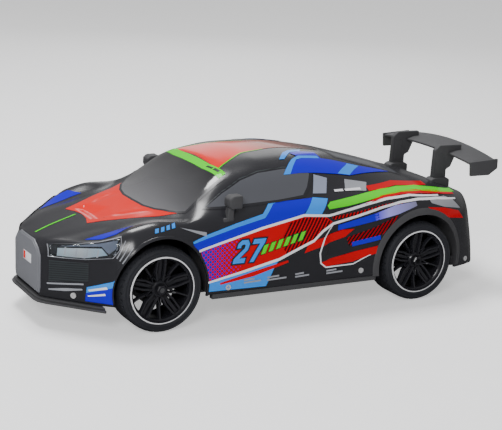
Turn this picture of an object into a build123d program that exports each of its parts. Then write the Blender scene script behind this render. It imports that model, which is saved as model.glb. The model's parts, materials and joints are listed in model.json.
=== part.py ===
from build123d import *
from math import acos, cos, pi, radians, sin, tan
import os

# Radio-controlled drift car, about 1:15 scale: a printed plastic body over a moulded chassis tub.
#
# Frame: +X forward, +Y to the car's left, +Z up, origin on the ground under the middle of the overall box.
# All sizes are in millimetres. Every physical piece is one solid, or one group of identical solids, in parts/.

# ---------------------------------------------------------------- driving dimensions
FRONT_X = 88.0            # front axle line
REAR_X = -87.0            # rear axle line, so the wheelbase is 175
AXLE_Z = 25.0             # wheel centre height at ride height
TYRE_R = 25.0
TYRE_IN = 38.5            # inner face of each tyre
TYRE_OUT = 60.5           # outer face of each tyre
RIM_SEAT_R = 19.6         # rim barrel, which is the tyre's bead seat
RIM_BORE_R = 18.0
ARCH_R = 31.0             # wheel arch radius
SHELL_T = 1.6             # body shell wall
KINGPIN_Y = 42.0
KINGPIN_R = 1.25
STEER_ARM = 10.0          # from kingpin back to the rack pin
FLOOR_LOW = 13.0          # underside of the chassis tub
FLOOR_TOP = 15.0
WALL_TOP = 26.0
RUNNING = 0.05            # radial clearance of a shaft that turns in a bore
SHAFT_R = 1.5
GEAR_MODULE = 0.6
AXLE_TEETH, IDLER_SMALL, IDLER_BIG, MOTOR_TEETH = 30, 11, 28, 10
IDLER_X = REAR_X + GEAR_MODULE * (AXLE_TEETH + IDLER_SMALL) / 2
MOTOR_X = IDLER_X + GEAR_MODULE * (IDLER_BIG + MOTOR_TEETH) / 2
SCREW_R = 0.85
SCREW_HEAD_R = 1.65

# ---------------------------------------------------------------- body lines
# Each line runs nose to tail as (x, y, z). A cross section takes one point from each, from the roof's
# centre line outwards and down to the sill.
BODY_LINES = {
    "spine": [(146.5, 0, 48.5), (143, 0, 50), (132, 0, 53.3), (122, 0, 55.5), (112, 0, 57.5), (104, 0, 59),
              (88, 0, 62), (80, 0, 64.2), (74, 0, 67.6), (60, 0, 76.8), (45, 0, 86), (34, 0, 89.8),
              (15, 0, 92.6), (-5, 0, 92.8), (-32, 0, 89.8), (-70, 0, 81), (-95, 0, 74), (-118, 0, 67.5),
              (-130, 0, 63.2), (-138, 0, 60)],
    "crown": [(146.5, 10, 48), (143, 12, 49.9), (132, 14, 53.2), (112, 15, 57.4), (88, 16, 61.8),
              (80, 17, 63.6), (74, 18, 66.6), (60, 20, 75.8), (45, 20.5, 84.9), (34, 20.5, 88.6),
              (15, 20, 91.5), (-5, 20, 91.7), (-32, 19, 88.7), (-70, 18, 80.1), (-95, 18, 73.4),
              (-118, 18, 67.1), (-130, 17, 62.9), (-138, 15, 59.8)],
    "rail": [(146.5, 18, 44.5), (143, 21, 49), (132, 25, 52.8), (122, 27.5, 55), (112, 29.5, 57),
             (88, 33, 61.2), (80, 37, 62.2), (72, 42.5, 63.5), (60, 43, 71), (45, 39.6, 81.2),
             (34, 37.8, 84.8), (15, 37, 87.2), (-5, 36.5, 87.2), (-32, 34.5, 84.2), (-55, 32.5, 79.6),
             (-70, 31.5, 76.6), (-95, 31, 71.2), (-118, 31, 66.2), (-130, 29, 62.2), (-138, 24, 59.4)],
    "belt": [(146.5, 21, 42), (143, 24.2, 46.5), (132, 31, 51.5), (122, 36, 53.6), (112, 38.5, 55.9),
             (104, 40, 58), (88, 42, 60.8), (74, 48, 62.2), (60, 52, 67), (45, 53, 69.2), (15, 53.2, 70.8),
             (-12, 52.5, 71.4), (-32, 50.5, 71.8), (-55, 47.5, 71.6), (-87, 45, 69.2), (-103, 43.5, 67),
             (-118, 41.5, 64.2), (-130, 37.5, 60.8), (-138, 31, 58.4)],
    "shoulder": [(146.5, 21.6, 39), (143, 25.4, 42.5), (132, 36.4, 49), (122, 44.5, 52.2),
                 (112, 49.6, 56.6), (104, 50.8, 60.4), (88, 51.5, 63.4), (74, 54, 62.6), (60, 56.8, 63.6),
                 (45, 57.4, 64.2), (15, 57.6, 65), (-12, 57.6, 65.8), (-40, 57.2, 66.4), (-60, 56.4, 66.6),
                 (-87, 56.2, 65), (-103, 54.2, 63), (-118, 49.5, 60.4), (-130, 43.6, 56.6), (-138, 36, 54)],
    "waist": [(146.5, 21.4, 31), (143, 25.6, 33), (132, 38.2, 38), (122, 48.6, 42), (112, 57, 46),
              (104, 60, 50), (88, 61.4, 53), (74, 60.8, 50), (60, 59.8, 46), (30, 59.4, 43), (0, 59.4, 43),
              (-30, 59.8, 45), (-60, 61, 50), (-87, 61.6, 53), (-103, 60.2, 50), (-118, 55.4, 46),
              (-128, 50.5, 44), (-138, 41, 42)],
    "flank": [(146.5, 20.6, 22), (143, 25, 24), (132, 38, 26), (122, 48.8, 27), (112, 57.6, 28),
              (104, 60.6, 30), (88, 61.6, 30), (60, 60.4, 30), (0, 60, 29.5), (-60, 61, 30),
              (-87, 61.6, 30), (-103, 60.8, 30), (-118, 57, 29), (-132, 50.5, 28), (-138, 45, 27)],
    "sill": [(146.5, 19.8, 16.5), (143, 24.6, 16.5), (132, 37, 16.5), (122, 48, 16.5), (112, 57, 17),
             (104, 60.2, 18), (88, 61.2, 19), (60, 60.2, 19.4), (0, 60, 19.4), (-60, 60.6, 19.4),
             (-87, 61.2, 18.6), (-103, 60.4, 18.2), (-118, 56.6, 17.6), (-135, 49.5, 17.2),
             (-138, 46.5, 17)],
}
STATIONS = [146.5, 143, 138, 132, 122, 112, 104, 96, 88, 80, 74, 67, 60, 52, 45, 34, 20, 0, -20, -40, -60,
            -80, -95, -108, -118, -126, -132, -138]


def line_point(name, x):
    """The (y, z) of a body line at x, by a cubic through its knots whose slopes never overshoot."""
    knots = BODY_LINES[name]
    if x >= knots[0][0]:
        return knots[0][1:]
    if x <= knots[-1][0]:
        return knots[-1][1:]
    i = next(k for k in range(len(knots) - 1) if knots[k + 1][0] <= x)
    result = []
    for axis in (1, 2):
        def step_slope(k):
            return (knots[k + 1][axis] - knots[k][axis]) / (knots[k + 1][0] - knots[k][0])

        def slope(k):
            if k == 0:
                return step_slope(0)
            if k == len(knots) - 1:
                return step_slope(k - 1)
            a, b = step_slope(k - 1), step_slope(k)
            return 0.0 if a * b <= 0 else 2 * a * b / (a + b)

        h = knots[i + 1][0] - knots[i][0]
        t = (x - knots[i][0]) / h
        p, q = knots[i][axis], knots[i + 1][axis]
        result.append((2 * t**3 - 3 * t**2 + 1) * p + (t**3 - 2 * t**2 + t) * h * slope(i)
                      + (3 * t**2 - 2 * t**3) * q + (t**3 - t**2) * h * slope(i + 1))
    return tuple(result)


def half_section(x, grow=0.0):
    """Points (y, z) of the left half section at x, roof to sill, moved out by grow along its normal."""
    points = [line_point(name, x) for name in BODY_LINES]
    moved = []
    for k, (y, z) in enumerate(points):
        before = points[max(k - 1, 0)] if k else (-points[1][0], points[1][1])
        after = points[min(k + 1, len(points) - 1)]
        ty, tz = after[0] - before[0], after[1] - before[1]
        size = (ty * ty + tz * tz) ** 0.5
        moved.append((y - grow * tz / size, z + grow * ty / size))
    return moved


def body_solid(grow=0.0, drop=0.0, nose=0.0, tail=0.0):
    """The body's outer form as one solid, grown by grow, its sill lowered by drop and its ends moved in."""
    wires = []
    for x in STATIONS:
        place = min(max(x, STATIONS[-1] + tail), STATIONS[0] - nose)
        if wires and place in (wires[-1][0], STATIONS[-1] + tail) and x != STATIONS[-1]:
            continue
        half = half_section(x, grow)
        points = [Vector(place, y, z) for y, z in reversed(half)]
        points += [Vector(place, -y, z) for y, z in half[1:]]
        over = Edge.make_spline(points)
        left, right = points[0], points[-1]
        low_left, low_right = left - Vector(0, 0, drop), right - Vector(0, 0, drop)
        edges = [over, Edge.make_line(low_right, low_left)]
        if drop:
            edges += [Edge.make_line(right, low_right), Edge.make_line(low_left, left)]
        wires.append((place, Wire(edges)))
    return Solid.make_loft([w for _, w in wires], ruled=True)


def side_prism(outline, y_from, y_to):
    """A solid whose (x, z) outline runs from y_from to y_to."""
    face = Face(Wire.make_polygon([Vector(x, y_from, z) for x, z in outline]))
    return Solid.extrude(face, Vector(0, y_to - y_from, 0))


def plan_prism(outline, z_from, z_to):
    """A solid whose (x, y) outline runs from z_from to z_to."""
    face = Face(Wire.make_polygon([Vector(x, y, z_from) for x, y in outline]))
    return Solid.extrude(face, Vector(0, 0, z_to - z_from))


def block(x, y, z):
    """A box from its (low, high) pair along each axis."""
    return Pos(sum(x) / 2, sum(y) / 2, sum(z) / 2) * Box(x[1] - x[0], y[1] - y[0], z[1] - z[0])


def rod(radius, start, end):
    """A cylinder between two points."""
    a, b = Vector(*start), Vector(*end)
    return Solid.make_cylinder(radius, (b - a).length, Plane(a, z_dir=b - a))


def across(piece, x, y, z, side=1):
    """Place a piece made about Z so that its Z points outwards: +Y on the left (side 1), -Y on the right."""
    return Pos(x, side * y, z) * Rot(-90 * side, 0, 0) * piece


def ring(profile):
    """A solid of revolution about Z from (r, z) points."""
    face = Face(Wire.make_polygon([Vector(r, 0, z) for r, z in profile]))
    return Solid.revolve(face, 360, Axis.Z)


def mirrored(piece):
    return mirror(piece, about=Plane.XZ)


def one(piece):
    """The single largest solid of a boolean result."""
    return max(piece.solids(), key=lambda s: s.volume)


def gear(teeth, width, bore, phase=0.0):
    """A spur gear about Z with involute flanks, a 25 degree pressure angle and a little backlash."""
    pressure, backlash = radians(25), 0.07
    pitch_r = GEAR_MODULE * teeth / 2
    base_r, tip_r, root_r = pitch_r * cos(pressure), pitch_r + 0.8 * GEAR_MODULE, pitch_r - 1.1 * GEAR_MODULE
    flare = tan(pressure) - pressure
    half_tooth = (pi * GEAR_MODULE / 2 - backlash) / 2 / pitch_r

    def half_angle(r):
        roll = acos(min(1.0, base_r / r))
        return half_tooth + flare - (tan(roll) - roll)

    radii = [max(base_r, root_r) + (tip_r - max(base_r, root_r)) * k / 4 for k in range(5)]
    points = []
    for tooth in range(teeth):
        middle = phase + 2 * pi * tooth / teeth
        rising = [(r, middle - half_angle(r)) for r in radii]
        falling = [(r, middle + half_angle(r)) for r in reversed(radii)]
        if root_r < radii[0]:
            rising = [(root_r, rising[0][1])] + rising
            falling = falling + [(root_r, falling[-1][1])]
        points += rising + falling
    wire = Wire.make_polygon([Vector(r * cos(a), r * sin(a), -width / 2) for r, a in points])
    return Solid.extrude(Face(wire), Vector(0, 0, width)) - Cylinder(bore, width * 2)


# ---------------------------------------------------------------- body and its trim
HEADLIGHT = [(143.4, 41.2), (143.2, 47.6), (132, 49.8), (121, 52.6), (110.5, 56.4), (112.5, 50.2),
             (116, 45.2), (128, 42.8)]
TAIL_LIGHT_Z = (42.0, 50.0)
SCREW_PLACES = [((132.6, 36.9, 20.4), (0.72, 0.69)), ((46.6, 60.0, 22.8), (0, 1)),
                ((-43.9, 60.4, 23.9), (0, 1)), ((-128.2, 52.6, 21.1), (-0.42, 0.91))]


def body_screw(place, normal, side):
    """A pan-head screw with a cross recess, its head on the skin at place."""
    size = (normal[0] ** 2 + normal[1] ** 2) ** 0.5
    out = Vector(normal[0] / size, side * normal[1] / size, 0)
    seat = Vector(place[0], side * place[1], place[2]) - out * 0.4
    frame = Plane(seat, z_dir=out)
    head = Solid.make_cylinder(SCREW_HEAD_R, 1.1, frame)
    shank = Solid.make_cylinder(SCREW_R, 6.0, Plane(seat, z_dir=-out))
    slots = Box(0.45, 1.9, 1.0) + Box(1.9, 0.45, 1.0)
    return one(head.fuse(shank) - frame * Pos(0, 0, 1.1) * slots)


def make_body(outer, inner, screws):
    shell = outer - inner
    for x in (FRONT_X, REAR_X):
        for side in (1, -1):
            shell -= across(Cylinder(ARCH_R, 60), x, 66, AXLE_Z, side)
    prisms = [side_prism(HEADLIGHT, 15, 80), side_prism(HEADLIGHT, -15, -80)]
    tails = [block((-150, -134), (20, 34), TAIL_LIGHT_Z), block((-150, -134), (-34, -20), TAIL_LIGHT_Z)]
    skin = shell
    for cut in prisms + tails + screws:
        shell -= cut
    return one(shell), [one(skin & p) for p in prisms], [one(skin & t) for t in tails]


def make_reflector(inner, deeper, side):
    """The bucket glued behind a headlight lens: a thin sheet on the inside of the shell, wider than the lens."""
    grown = [(144.6, 40.2), (144.6, 48.2), (132, 50.8), (121, 53.8), (109.6, 57.6), (111.4, 49.6),
             (115.4, 44.0), (128, 41.6)]
    return one((inner - deeper) & side_prism(grown, side * 15, side * 80))


def make_mirror(outer):
    head = block((39.8, 48.4), (53.9, 61.9), (69.2, 77.2))
    head = chamfer(head.edges().group_by(Axis.X)[-1], 1.6)
    stem = plan_prism([(43.8, 54.6), (47.6, 54.6), (47.6, 59.4), (43.8, 59.4)], 62, 69.6)
    foot = plan_prism([(43.4, 53.4), (50.4, 53.4), (50.4, 58.4), (43.4, 58.4)], 58, 64.6)
    return one((head + stem + foot) - outer)


WING_HALF = 49.0
WING_SECTIONS = [(-129.0, 85.6, 2.8, 1.4), (-134.0, 87.0, 3.4, 2.8), (-142.0, 87.9, 4.1, 2.4),
                 (-149.4, 88.4, 4.8, 1.2)]     # x, height in the middle, drop at the ends, thickness
UPRIGHT_Y = 24.0


def make_plank():
    """An arched plank, thickest behind its leading edge, that rises a little to its trailing edge."""
    sections = []
    for x, middle, droop, thick in WING_SECTIONS:
        arch = [(WING_HALF * k / 6, middle - droop * (k / 6) ** 2) for k in range(-6, 7)]
        top = Edge.make_spline([Vector(x, y, z) for y, z in arch])
        low = Edge.make_spline([Vector(x, y, z - thick) for y, z in reversed(arch)])
        ends = [Edge.make_line(top @ 1, low @ 0), Edge.make_line(low @ 1, top @ 0)]
        sections.append(Wire([top, ends[0], low, ends[1]]))
    return Solid.make_loft(sections, ruled=True)


END_PLATE = [(-128.2, 83.6), (-150.0, 84.6), (-150.0, 78.4), (-143.5, 74.3), (-129.0, 74.4)]
UPRIGHT = [(-117.4, 60.0), (-118.5, 86.9), (-122.2, 89.9), (-139.3, 89.6), (-138.8, 84.6), (-134.7, 82.6),
           (-131.5, 75.5), (-128.2, 73.7), (-128.2, 60.0)]


def make_wing(outer):
    plank = make_plank()
    plates, uprights = [], []
    for side in (1, -1):
        plates.append(side_prism(END_PLATE, side * WING_HALF, side * (WING_HALF + 1.8)))
        blade = side_prism(UPRIGHT, side * (UPRIGHT_Y - 1.7), side * (UPRIGHT_Y + 1.7))
        foot = block((-130.0, -115.5), (0, 7.6), (60, 69.0))
        foot = Pos(0, side * UPRIGHT_Y - 3.8, 0) * foot
        uprights.append(one((blade + foot) - outer - plank))
    return plank, plates, uprights


SPLITTER_LOW = [(150, 17), (149.2, 22), (146, 27), (136, 38), (126, 49.6), (119.5, 56.4)]
SPLITTER_HIGH = [(148.6, 17), (147.8, 21.2), (144.6, 26), (134.6, 37), (124.6, 48.6), (119.5, 54)]


def make_splitter():
    def plate(points, low, high):
        return plan_prism(points + [(x, -y) for x, y in reversed(points)], low, high)
    return one(plate(SPLITTER_LOW, 13.7, 15.1) + plate(SPLITTER_HIGH, 15.1, 16.5))


def make_diffuser():
    base = plan_prism([(-118, 30), (-118, -30), (-137.5, -44), (-137.5, 44)], 14.8, 17.0)
    for y in (-30, -18, -6, 6, 18, 30):
        base += side_prism([(-121, 14.8), (-137.5, 14.8), (-137.5, 10.4), (-133, 10.4)], y - 0.8, y + 0.8)
    return one(base)


# ---------------------------------------------------------------- wheels
WHEEL_MID = (TYRE_IN + TYRE_OUT) / 2
HALF_W = (TYRE_OUT - TYRE_IN) / 2


def make_tyre():
    w, r = HALF_W, TYRE_R
    return ring([(RIM_SEAT_R, -w + 1), (RIM_SEAT_R + 1, -w), (r - 1.7, -w), (r - 0.5, -w + 1.1), (r, -w + 2.8),
                 (r, w - 2.8), (r - 0.5, w - 1.1), (r - 1.7, w), (RIM_SEAT_R + 1, w), (RIM_SEAT_R, w - 1)])


def make_rim(bore):
    w = HALF_W - 1
    rim = ring([(RIM_BORE_R, -w), (RIM_SEAT_R, -w), (RIM_SEAT_R, w), (RIM_BORE_R - 0.6, w),
                (RIM_BORE_R - 0.6, w - 1.4), (RIM_BORE_R, w - 2.4)])
    rim += Pos(0, 0, 3.0) * Cylinder(5.2, 9.0)
    for k in range(5):
        stem = Pos(7.0, 0, 4.6) * Box(7, 3.2, 3.4)
        arms = [Pos(9.6, 0, 4.6) * Rot(0, 0, a) * Pos(4.3, 0, 0) * Box(9.6, 1.9, 3.4) for a in (22, -22)]
        rim += Rot(0, 0, 72 * k + 90) * (stem + arms[0] + arms[1])
    return one(rim - Cylinder(bore, 60))


def make_nut():
    nut = extrude(RegularPolygon(3.1, 6), 2.4)
    return one(chamfer(nut.edges().group_by(Axis.Z)[-1], 0.4) - Cylinder(SHAFT_R, 20))


# ---------------------------------------------------------------- steering
PIN_X = FRONT_X - STEER_ARM
ARM_LOW = (13.0, 16.8)
ARM_HIGH = (33.2, 36.0)
RACK_Z = (31.2, 34.2)
SERVO_ARM = 12.0
SERVO_X = PIN_X + 0.6 - SERVO_ARM
SLOT = (76.4, 80.2)
PIN_R = 1.2


def make_knuckle():
    """Left steering knuckle: kingpin boss, stub axle and the arm that carries the rack pin."""
    knuckle = rod(3.4, (FRONT_X, KINGPIN_Y, ARM_LOW[1] + 0.2), (FRONT_X, KINGPIN_Y, ARM_HIGH[0] - 0.2))
    knuckle += rod(2.6, (FRONT_X, KINGPIN_Y, AXLE_Z), (FRONT_X, WHEEL_MID - 1.7, AXLE_Z))
    knuckle += rod(SHAFT_R, (FRONT_X, KINGPIN_Y, AXLE_Z), (FRONT_X, WHEEL_MID + 9.8, AXLE_Z))
    knuckle += block((PIN_X - 2, FRONT_X), (KINGPIN_Y - 2, KINGPIN_Y + 2), (28.4, 31.0))
    knuckle += rod(PIN_R, (PIN_X, KINGPIN_Y, 29), (PIN_X, KINGPIN_Y, 35))
    bore = rod(KINGPIN_R + RUNNING, (FRONT_X, KINGPIN_Y, 10), (FRONT_X, KINGPIN_Y, 40))
    return one(knuckle - bore)


def make_kingpin():
    pin = rod(KINGPIN_R, (FRONT_X, KINGPIN_Y, ARM_LOW[0]), (FRONT_X, KINGPIN_Y, 37))
    return one(pin + rod(2.2, (FRONT_X, KINGPIN_Y, ARM_HIGH[1]), (FRONT_X, KINGPIN_Y, 37.2)))


def make_rack():
    rack = block((75.6, 81.0), (-44.3, 44.3), RACK_Z)
    rack = chamfer(rack.edges().filter_by(Axis.Z), 0.9)
    for y in (-KINGPIN_Y, 0, KINGPIN_Y):
        rack -= block(SLOT, (y - PIN_R - 0.15, y + PIN_R + 0.15), (30, 36))
    return one(rack)


def make_servo_arm():
    arm = rod(3.0, (SERVO_X, 0, 34.8), (SERVO_X, 0, 37.0))
    arm += block((SERVO_X, SERVO_X + SERVO_ARM), (-1.6, 1.6), (34.8, 37.0))
    arm += rod(1.9, (SERVO_X + SERVO_ARM, 0, 34.8), (SERVO_X + SERVO_ARM, 0, 37.0))
    arm += rod(PIN_R, (SERVO_X + SERVO_ARM, 0, 31.6), (SERVO_X + SERVO_ARM, 0, 35.0))
    return one(arm + rod(2.0, (SERVO_X, 0, 30.2), (SERVO_X, 0, 35.0)))


def make_servo_case():
    case = block((SERVO_X - 15.5, SERVO_X + 5.5), (-7.0, 7.0), (FLOOR_TOP, 33.0))
    case += rod(4.2, (SERVO_X, 0, 32), (SERVO_X, 0, 34.2))
    case += block((SERVO_X - 15.5, SERVO_X + 5.5), (-9.6, 9.6), (26.0, 28.0))
    return one(case - rod(2.0 + RUNNING, (SERVO_X, 0, 30.0), (SERVO_X, 0, 40)))


# ---------------------------------------------------------------- drive
PLATE_LEFT = (9.0, 11.0)
PLATE_RIGHT = (-7.0, -5.0)
IDLER_SHAFT_R = 1.0
MOTOR_R = 9.8


def gearbox_plate(span, motor_hole):
    plate = side_prism([(-97, FLOOR_TOP), (-52, FLOOR_TOP), (-52, 30), (-60, 36.5), (-97, 36.5)], *span)
    plate -= rod(2.4, (REAR_X, -20, AXLE_Z), (REAR_X, 20, AXLE_Z))
    plate -= rod(IDLER_SHAFT_R, (IDLER_X, -20, AXLE_Z), (IDLER_X, 20, AXLE_Z))
    if motor_hole:
        plate -= rod(1.6, (MOTOR_X, -20, AXLE_Z), (MOTOR_X, 20, AXLE_Z))
    return one(plate)


def make_idler():
    small = across(gear(IDLER_SMALL, 7.0, IDLER_SHAFT_R + RUNNING), IDLER_X, 0, AXLE_Z)
    big = across(gear(IDLER_BIG, 4.0, IDLER_SHAFT_R + RUNNING), IDLER_X, 5.5, AXLE_Z)
    return one(small + big)


def make_pinion():
    pinion = across(gear(MOTOR_TEETH, 4.0, 0.5, pi / MOTOR_TEETH), MOTOR_X, 5.5, AXLE_Z)
    return one(pinion + rod(IDLER_SHAFT_R, (MOTOR_X, 3.0, AXLE_Z), (MOTOR_X, 13.8, AXLE_Z)))


def make_motor():
    can = rod(MOTOR_R, (MOTOR_X, PLATE_LEFT[1], AXLE_Z), (MOTOR_X, 33.0, AXLE_Z))
    can += rod(3.0, (MOTOR_X, 33.0, AXLE_Z), (MOTOR_X, 34.6, AXLE_Z))
    can -= rod(IDLER_SHAFT_R + RUNNING, (MOTOR_X, 0, AXLE_Z), (MOTOR_X, 14.0, AXLE_Z))
    return one(can)


# ---------------------------------------------------------------- chassis
BUSHING_Y = (21.0, 25.0)
DOOR = ((-30.0, 36.0), (-16.0, 16.0))
SWITCH = ((-50.0, -38.0), (-6.0, 6.0))


FRONT_POST = [(117, 14), (117, 42), (120, 46.2), (122, 45.0), (132, 34.2), (139, 26.0), (139, 14)]
REAR_POST = [(-116, 18), (-133, 18), (-133, 46.6), (-118, 53.8), (-116, 53.8)]


def make_tub(screws):
    """The moulded tub: floor, side walls, steering arms, axle carriers and the posts that hold the shell."""
    tub = block((-118, 119.5), (-24, 24), (FLOOR_LOW, FLOOR_TOP))
    tub += block((-56, 54), (-36, 36), (FLOOR_LOW, FLOOR_TOP))
    tub += block((-118, -56), (-30, 30), (FLOOR_LOW, FLOOR_TOP))
    for side in (1, -1):
        def wall(x, y, z):
            return block(x, sorted(side * v for v in y), z)
        tub += wall((-50, 54), (34, 36), (FLOOR_TOP, WALL_TOP))
        tub += wall((52, 54), (12, 36), (FLOOR_TOP, 22))
        tub += wall((84.5, 91.5), (20, 45.4), ARM_LOW)
        tub += wall((84.5, 91.5), (20, 45.4), ARM_HIGH)
        tub += wall((84.5, 91.5), (20, 26), (FLOOR_TOP, ARM_HIGH[1]))
        tub += wall((72.8, 84.0), (14, 20), (FLOOR_TOP, RACK_Z[0] - 0.2))
        tub += wall((72.8, 75.3), (14, 20), (FLOOR_TOP, 35.4))
        tub += wall((81.5, 84.0), (14, 20), (FLOOR_TOP, 35.4))
        tub += wall((-93, -81), BUSHING_Y, (FLOOR_TOP, 31.5))
        tub += wall((106, 119.5), (14, 22), (FLOOR_TOP, 23))
        tub += plan_prism([(x, side * y) for x, y in FRONT_POST], 17.2, 23)
        tub += wall((42.6, 50.6), (34, 57.8), (19.8, WALL_TOP))
        tub += wall((-47.9, -39.9), (34, 57.8), (20.0, WALL_TOP))
        tub += wall((-118, -108), (18, 28), (FLOOR_TOP, 24))
        tub += plan_prism([(x, side * y) for x, y in REAR_POST], 18.0, 24)
        tub -= rod(KINGPIN_R, (FRONT_X, side * KINGPIN_Y, 5), (FRONT_X, side * KINGPIN_Y, 45))
        tub -= across(Cylinder(3.5, 20), REAR_X, 23, AXLE_Z, side)
    tub -= block(DOOR[0], DOOR[1], (10, 20))
    tub -= block(SWITCH[0], SWITCH[1], (10, 20))
    for screw in screws:
        tub -= screw
    return one(tub)


def make_bushing():
    return one(Cylinder(3.5, BUSHING_Y[1] - BUSHING_Y[0]) - Cylinder(SHAFT_R + RUNNING, 20))


def make_switch():
    """Power switch set into the floor, with the slot that its slider runs in."""
    x, y = SWITCH
    body = block(x, y, (FLOOR_LOW, 19.0)) - block((x[0] + 2, x[1] - 2), (-2.2, 2.2), (10, 15.6))
    slider = block((x[0] + 2.4, x[0] + 5.4), (-2.0, 2.0), (11.6, 15.4))
    return one(body), one(slider)


def make_board():
    board = block((-24, 30), (-15, 15), (34.0, 35.6))
    board += block((-18, -6), (-8, 8), (35.6, 37.6)) + block((4, 13), (-4, 9), (35.6, 37.0))
    board += rod(3.0, (22, 8, 35), (22, 8, 43)) + rod(3.0, (22, -8, 35), (22, -8, 43))
    return one(board)


def write(node, *pieces):
    """Write one node: a single solid, or a group of separate solids."""
    shape = pieces[0] if len(pieces) == 1 else Compound(children=list(pieces))
    shape.label = node
    export_step(shape, f"parts/{node}.step")


def main():
    os.makedirs("parts", exist_ok=True)
    outer = body_solid()
    inner = body_solid(-SHELL_T, 6.0, SHELL_T, SHELL_T)
    deeper = body_solid(-SHELL_T - 1.2, 8.0, SHELL_T + 1.2, SHELL_T + 1.2)
    screws = [body_screw(place, normal, side) for place, normal in SCREW_PLACES for side in (1, -1)]

    shell, lenses, tails = make_body(outer, inner, screws)
    write("body_shell", shell)
    write("body_screws", *screws)
    nose = [Vector(STATIONS[0], y, z) for y, z in half_section(STATIONS[0], -0.4)]
    loop = nose + [Vector(v.X, -v.Y, v.Z) for v in reversed(nose[1:])]
    write("nose_plate", Solid.extrude(Face(Wire.make_polygon(loop)), Vector(1.4, 0, 0)))
    write("front_splitter", make_splitter())
    write("rear_diffuser", make_diffuser())
    mirror_left = make_mirror(outer)
    plank, plates, uprights = make_wing(outer)
    write("wing_plank", plank)
    write("mirror_left", mirror_left)
    write("mirror_right", mirrored(mirror_left))
    for k, (name, side) in enumerate((("left", 1), ("right", -1))):
        write(f"headlight_lens_{name}", lenses[k])
        write(f"headlight_bucket_{name}", make_reflector(inner, deeper, side))
        write(f"tail_lens_{name}", tails[k])
        write(f"side_skirt_{name}", block((-55.5, 56.5), sorted((side * 56.4, side * 60.0)), (16.4, 19.4)))
        write(f"wing_end_plate_{name}", plates[k])
        write(f"wing_upright_{name}", uprights[k])

    write("chassis_tub", make_tub(screws))
    knuckle, kingpin = make_knuckle(), make_kingpin()
    write("knuckle_left", knuckle)
    write("knuckle_right", mirrored(knuckle))
    write("kingpins", kingpin, mirrored(kingpin))
    write("steering_rack", make_rack())
    write("servo_arm", make_servo_arm())
    write("servo_case", make_servo_case())

    for place, x, bore in (("front", FRONT_X, SHAFT_R + RUNNING), ("rear", REAR_X, SHAFT_R)):
        for name, side in (("left", 1), ("right", -1)):
            write(f"tyre_{place}_{name}", across(make_tyre(), x, WHEEL_MID, AXLE_Z, side))
            write(f"rim_{place}_{name}", across(make_rim(bore), x, WHEEL_MID, AXLE_Z, side))
            gap = 0.2 if place == "front" else 0.0
            write(f"wheel_nut_{place}_{name}", across(make_nut(), x, WHEEL_MID + 7.5 + gap, AXLE_Z, side))

    write("rear_axle", rod(SHAFT_R, (REAR_X, -59.3, AXLE_Z), (REAR_X, 59.3, AXLE_Z)))
    write("axle_gear", across(gear(AXLE_TEETH, 6.0, SHAFT_R), REAR_X, 0, AXLE_Z))
    write("idler_gear", make_idler())
    write("idler_shaft", rod(IDLER_SHAFT_R, (IDLER_X, PLATE_RIGHT[0], AXLE_Z),
                             (IDLER_X, PLATE_LEFT[1], AXLE_Z)))
    write("motor_pinion", make_pinion())
    write("motor", make_motor())
    write("gearbox_plate_left", gearbox_plate(PLATE_LEFT, True))
    write("gearbox_plate_right", gearbox_plate(PLATE_RIGHT, False))
    write("gearbox_lid", block((-97, -60), (PLATE_RIGHT[0], PLATE_LEFT[1]), (36.5, 38.0)))
    write("rear_bushings", *[across(make_bushing(), REAR_X, 23, AXLE_Z, side) for side in (1, -1)])

    write("battery_pack", block((-32, 38), (-18.5, 18.5), (FLOOR_TOP, 34.0)))
    write("battery_door", block((DOOR[0][0] + 0.1, DOOR[0][1] - 0.1), (DOOR[1][0] + 0.1, DOOR[1][1] - 0.1),
                                (FLOOR_LOW, FLOOR_TOP)))
    write("circuit_board", make_board())
    switch, slider = make_switch()
    write("power_switch", switch)
    write("switch_slider", slider)


if __name__ == "__main__":
    main()
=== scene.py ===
import json
import logging
import math
from dataclasses import dataclass, field
from enum import Enum
from typing import Iterable, Optional, Sequence

import bpy
import numpy as np
from mathutils import Matrix, Vector
from mathutils.geometry import delaunay_2d_cdt


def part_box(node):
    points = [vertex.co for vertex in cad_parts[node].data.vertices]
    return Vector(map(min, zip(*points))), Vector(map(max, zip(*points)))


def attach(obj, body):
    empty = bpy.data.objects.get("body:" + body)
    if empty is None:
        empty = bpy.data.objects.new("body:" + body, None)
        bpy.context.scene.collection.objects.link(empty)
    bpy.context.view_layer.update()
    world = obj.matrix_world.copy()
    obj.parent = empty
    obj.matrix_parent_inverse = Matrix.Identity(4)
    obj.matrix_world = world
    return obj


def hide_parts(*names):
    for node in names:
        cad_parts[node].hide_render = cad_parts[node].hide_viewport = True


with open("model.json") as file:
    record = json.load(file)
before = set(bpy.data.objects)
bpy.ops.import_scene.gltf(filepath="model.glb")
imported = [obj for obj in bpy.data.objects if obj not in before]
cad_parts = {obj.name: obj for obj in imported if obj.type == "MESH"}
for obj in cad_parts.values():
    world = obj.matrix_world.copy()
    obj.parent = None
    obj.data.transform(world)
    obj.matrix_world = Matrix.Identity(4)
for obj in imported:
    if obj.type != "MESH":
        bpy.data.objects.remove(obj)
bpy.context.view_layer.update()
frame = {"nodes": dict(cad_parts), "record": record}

LOG = logging.getLogger("drift_car")
MM = 0.001
Point2 = tuple[float, float]
Point3 = tuple[float, float, float]
Colour = tuple[float, float, float]
SIDES = (("left", 1), ("right", -1))


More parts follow.
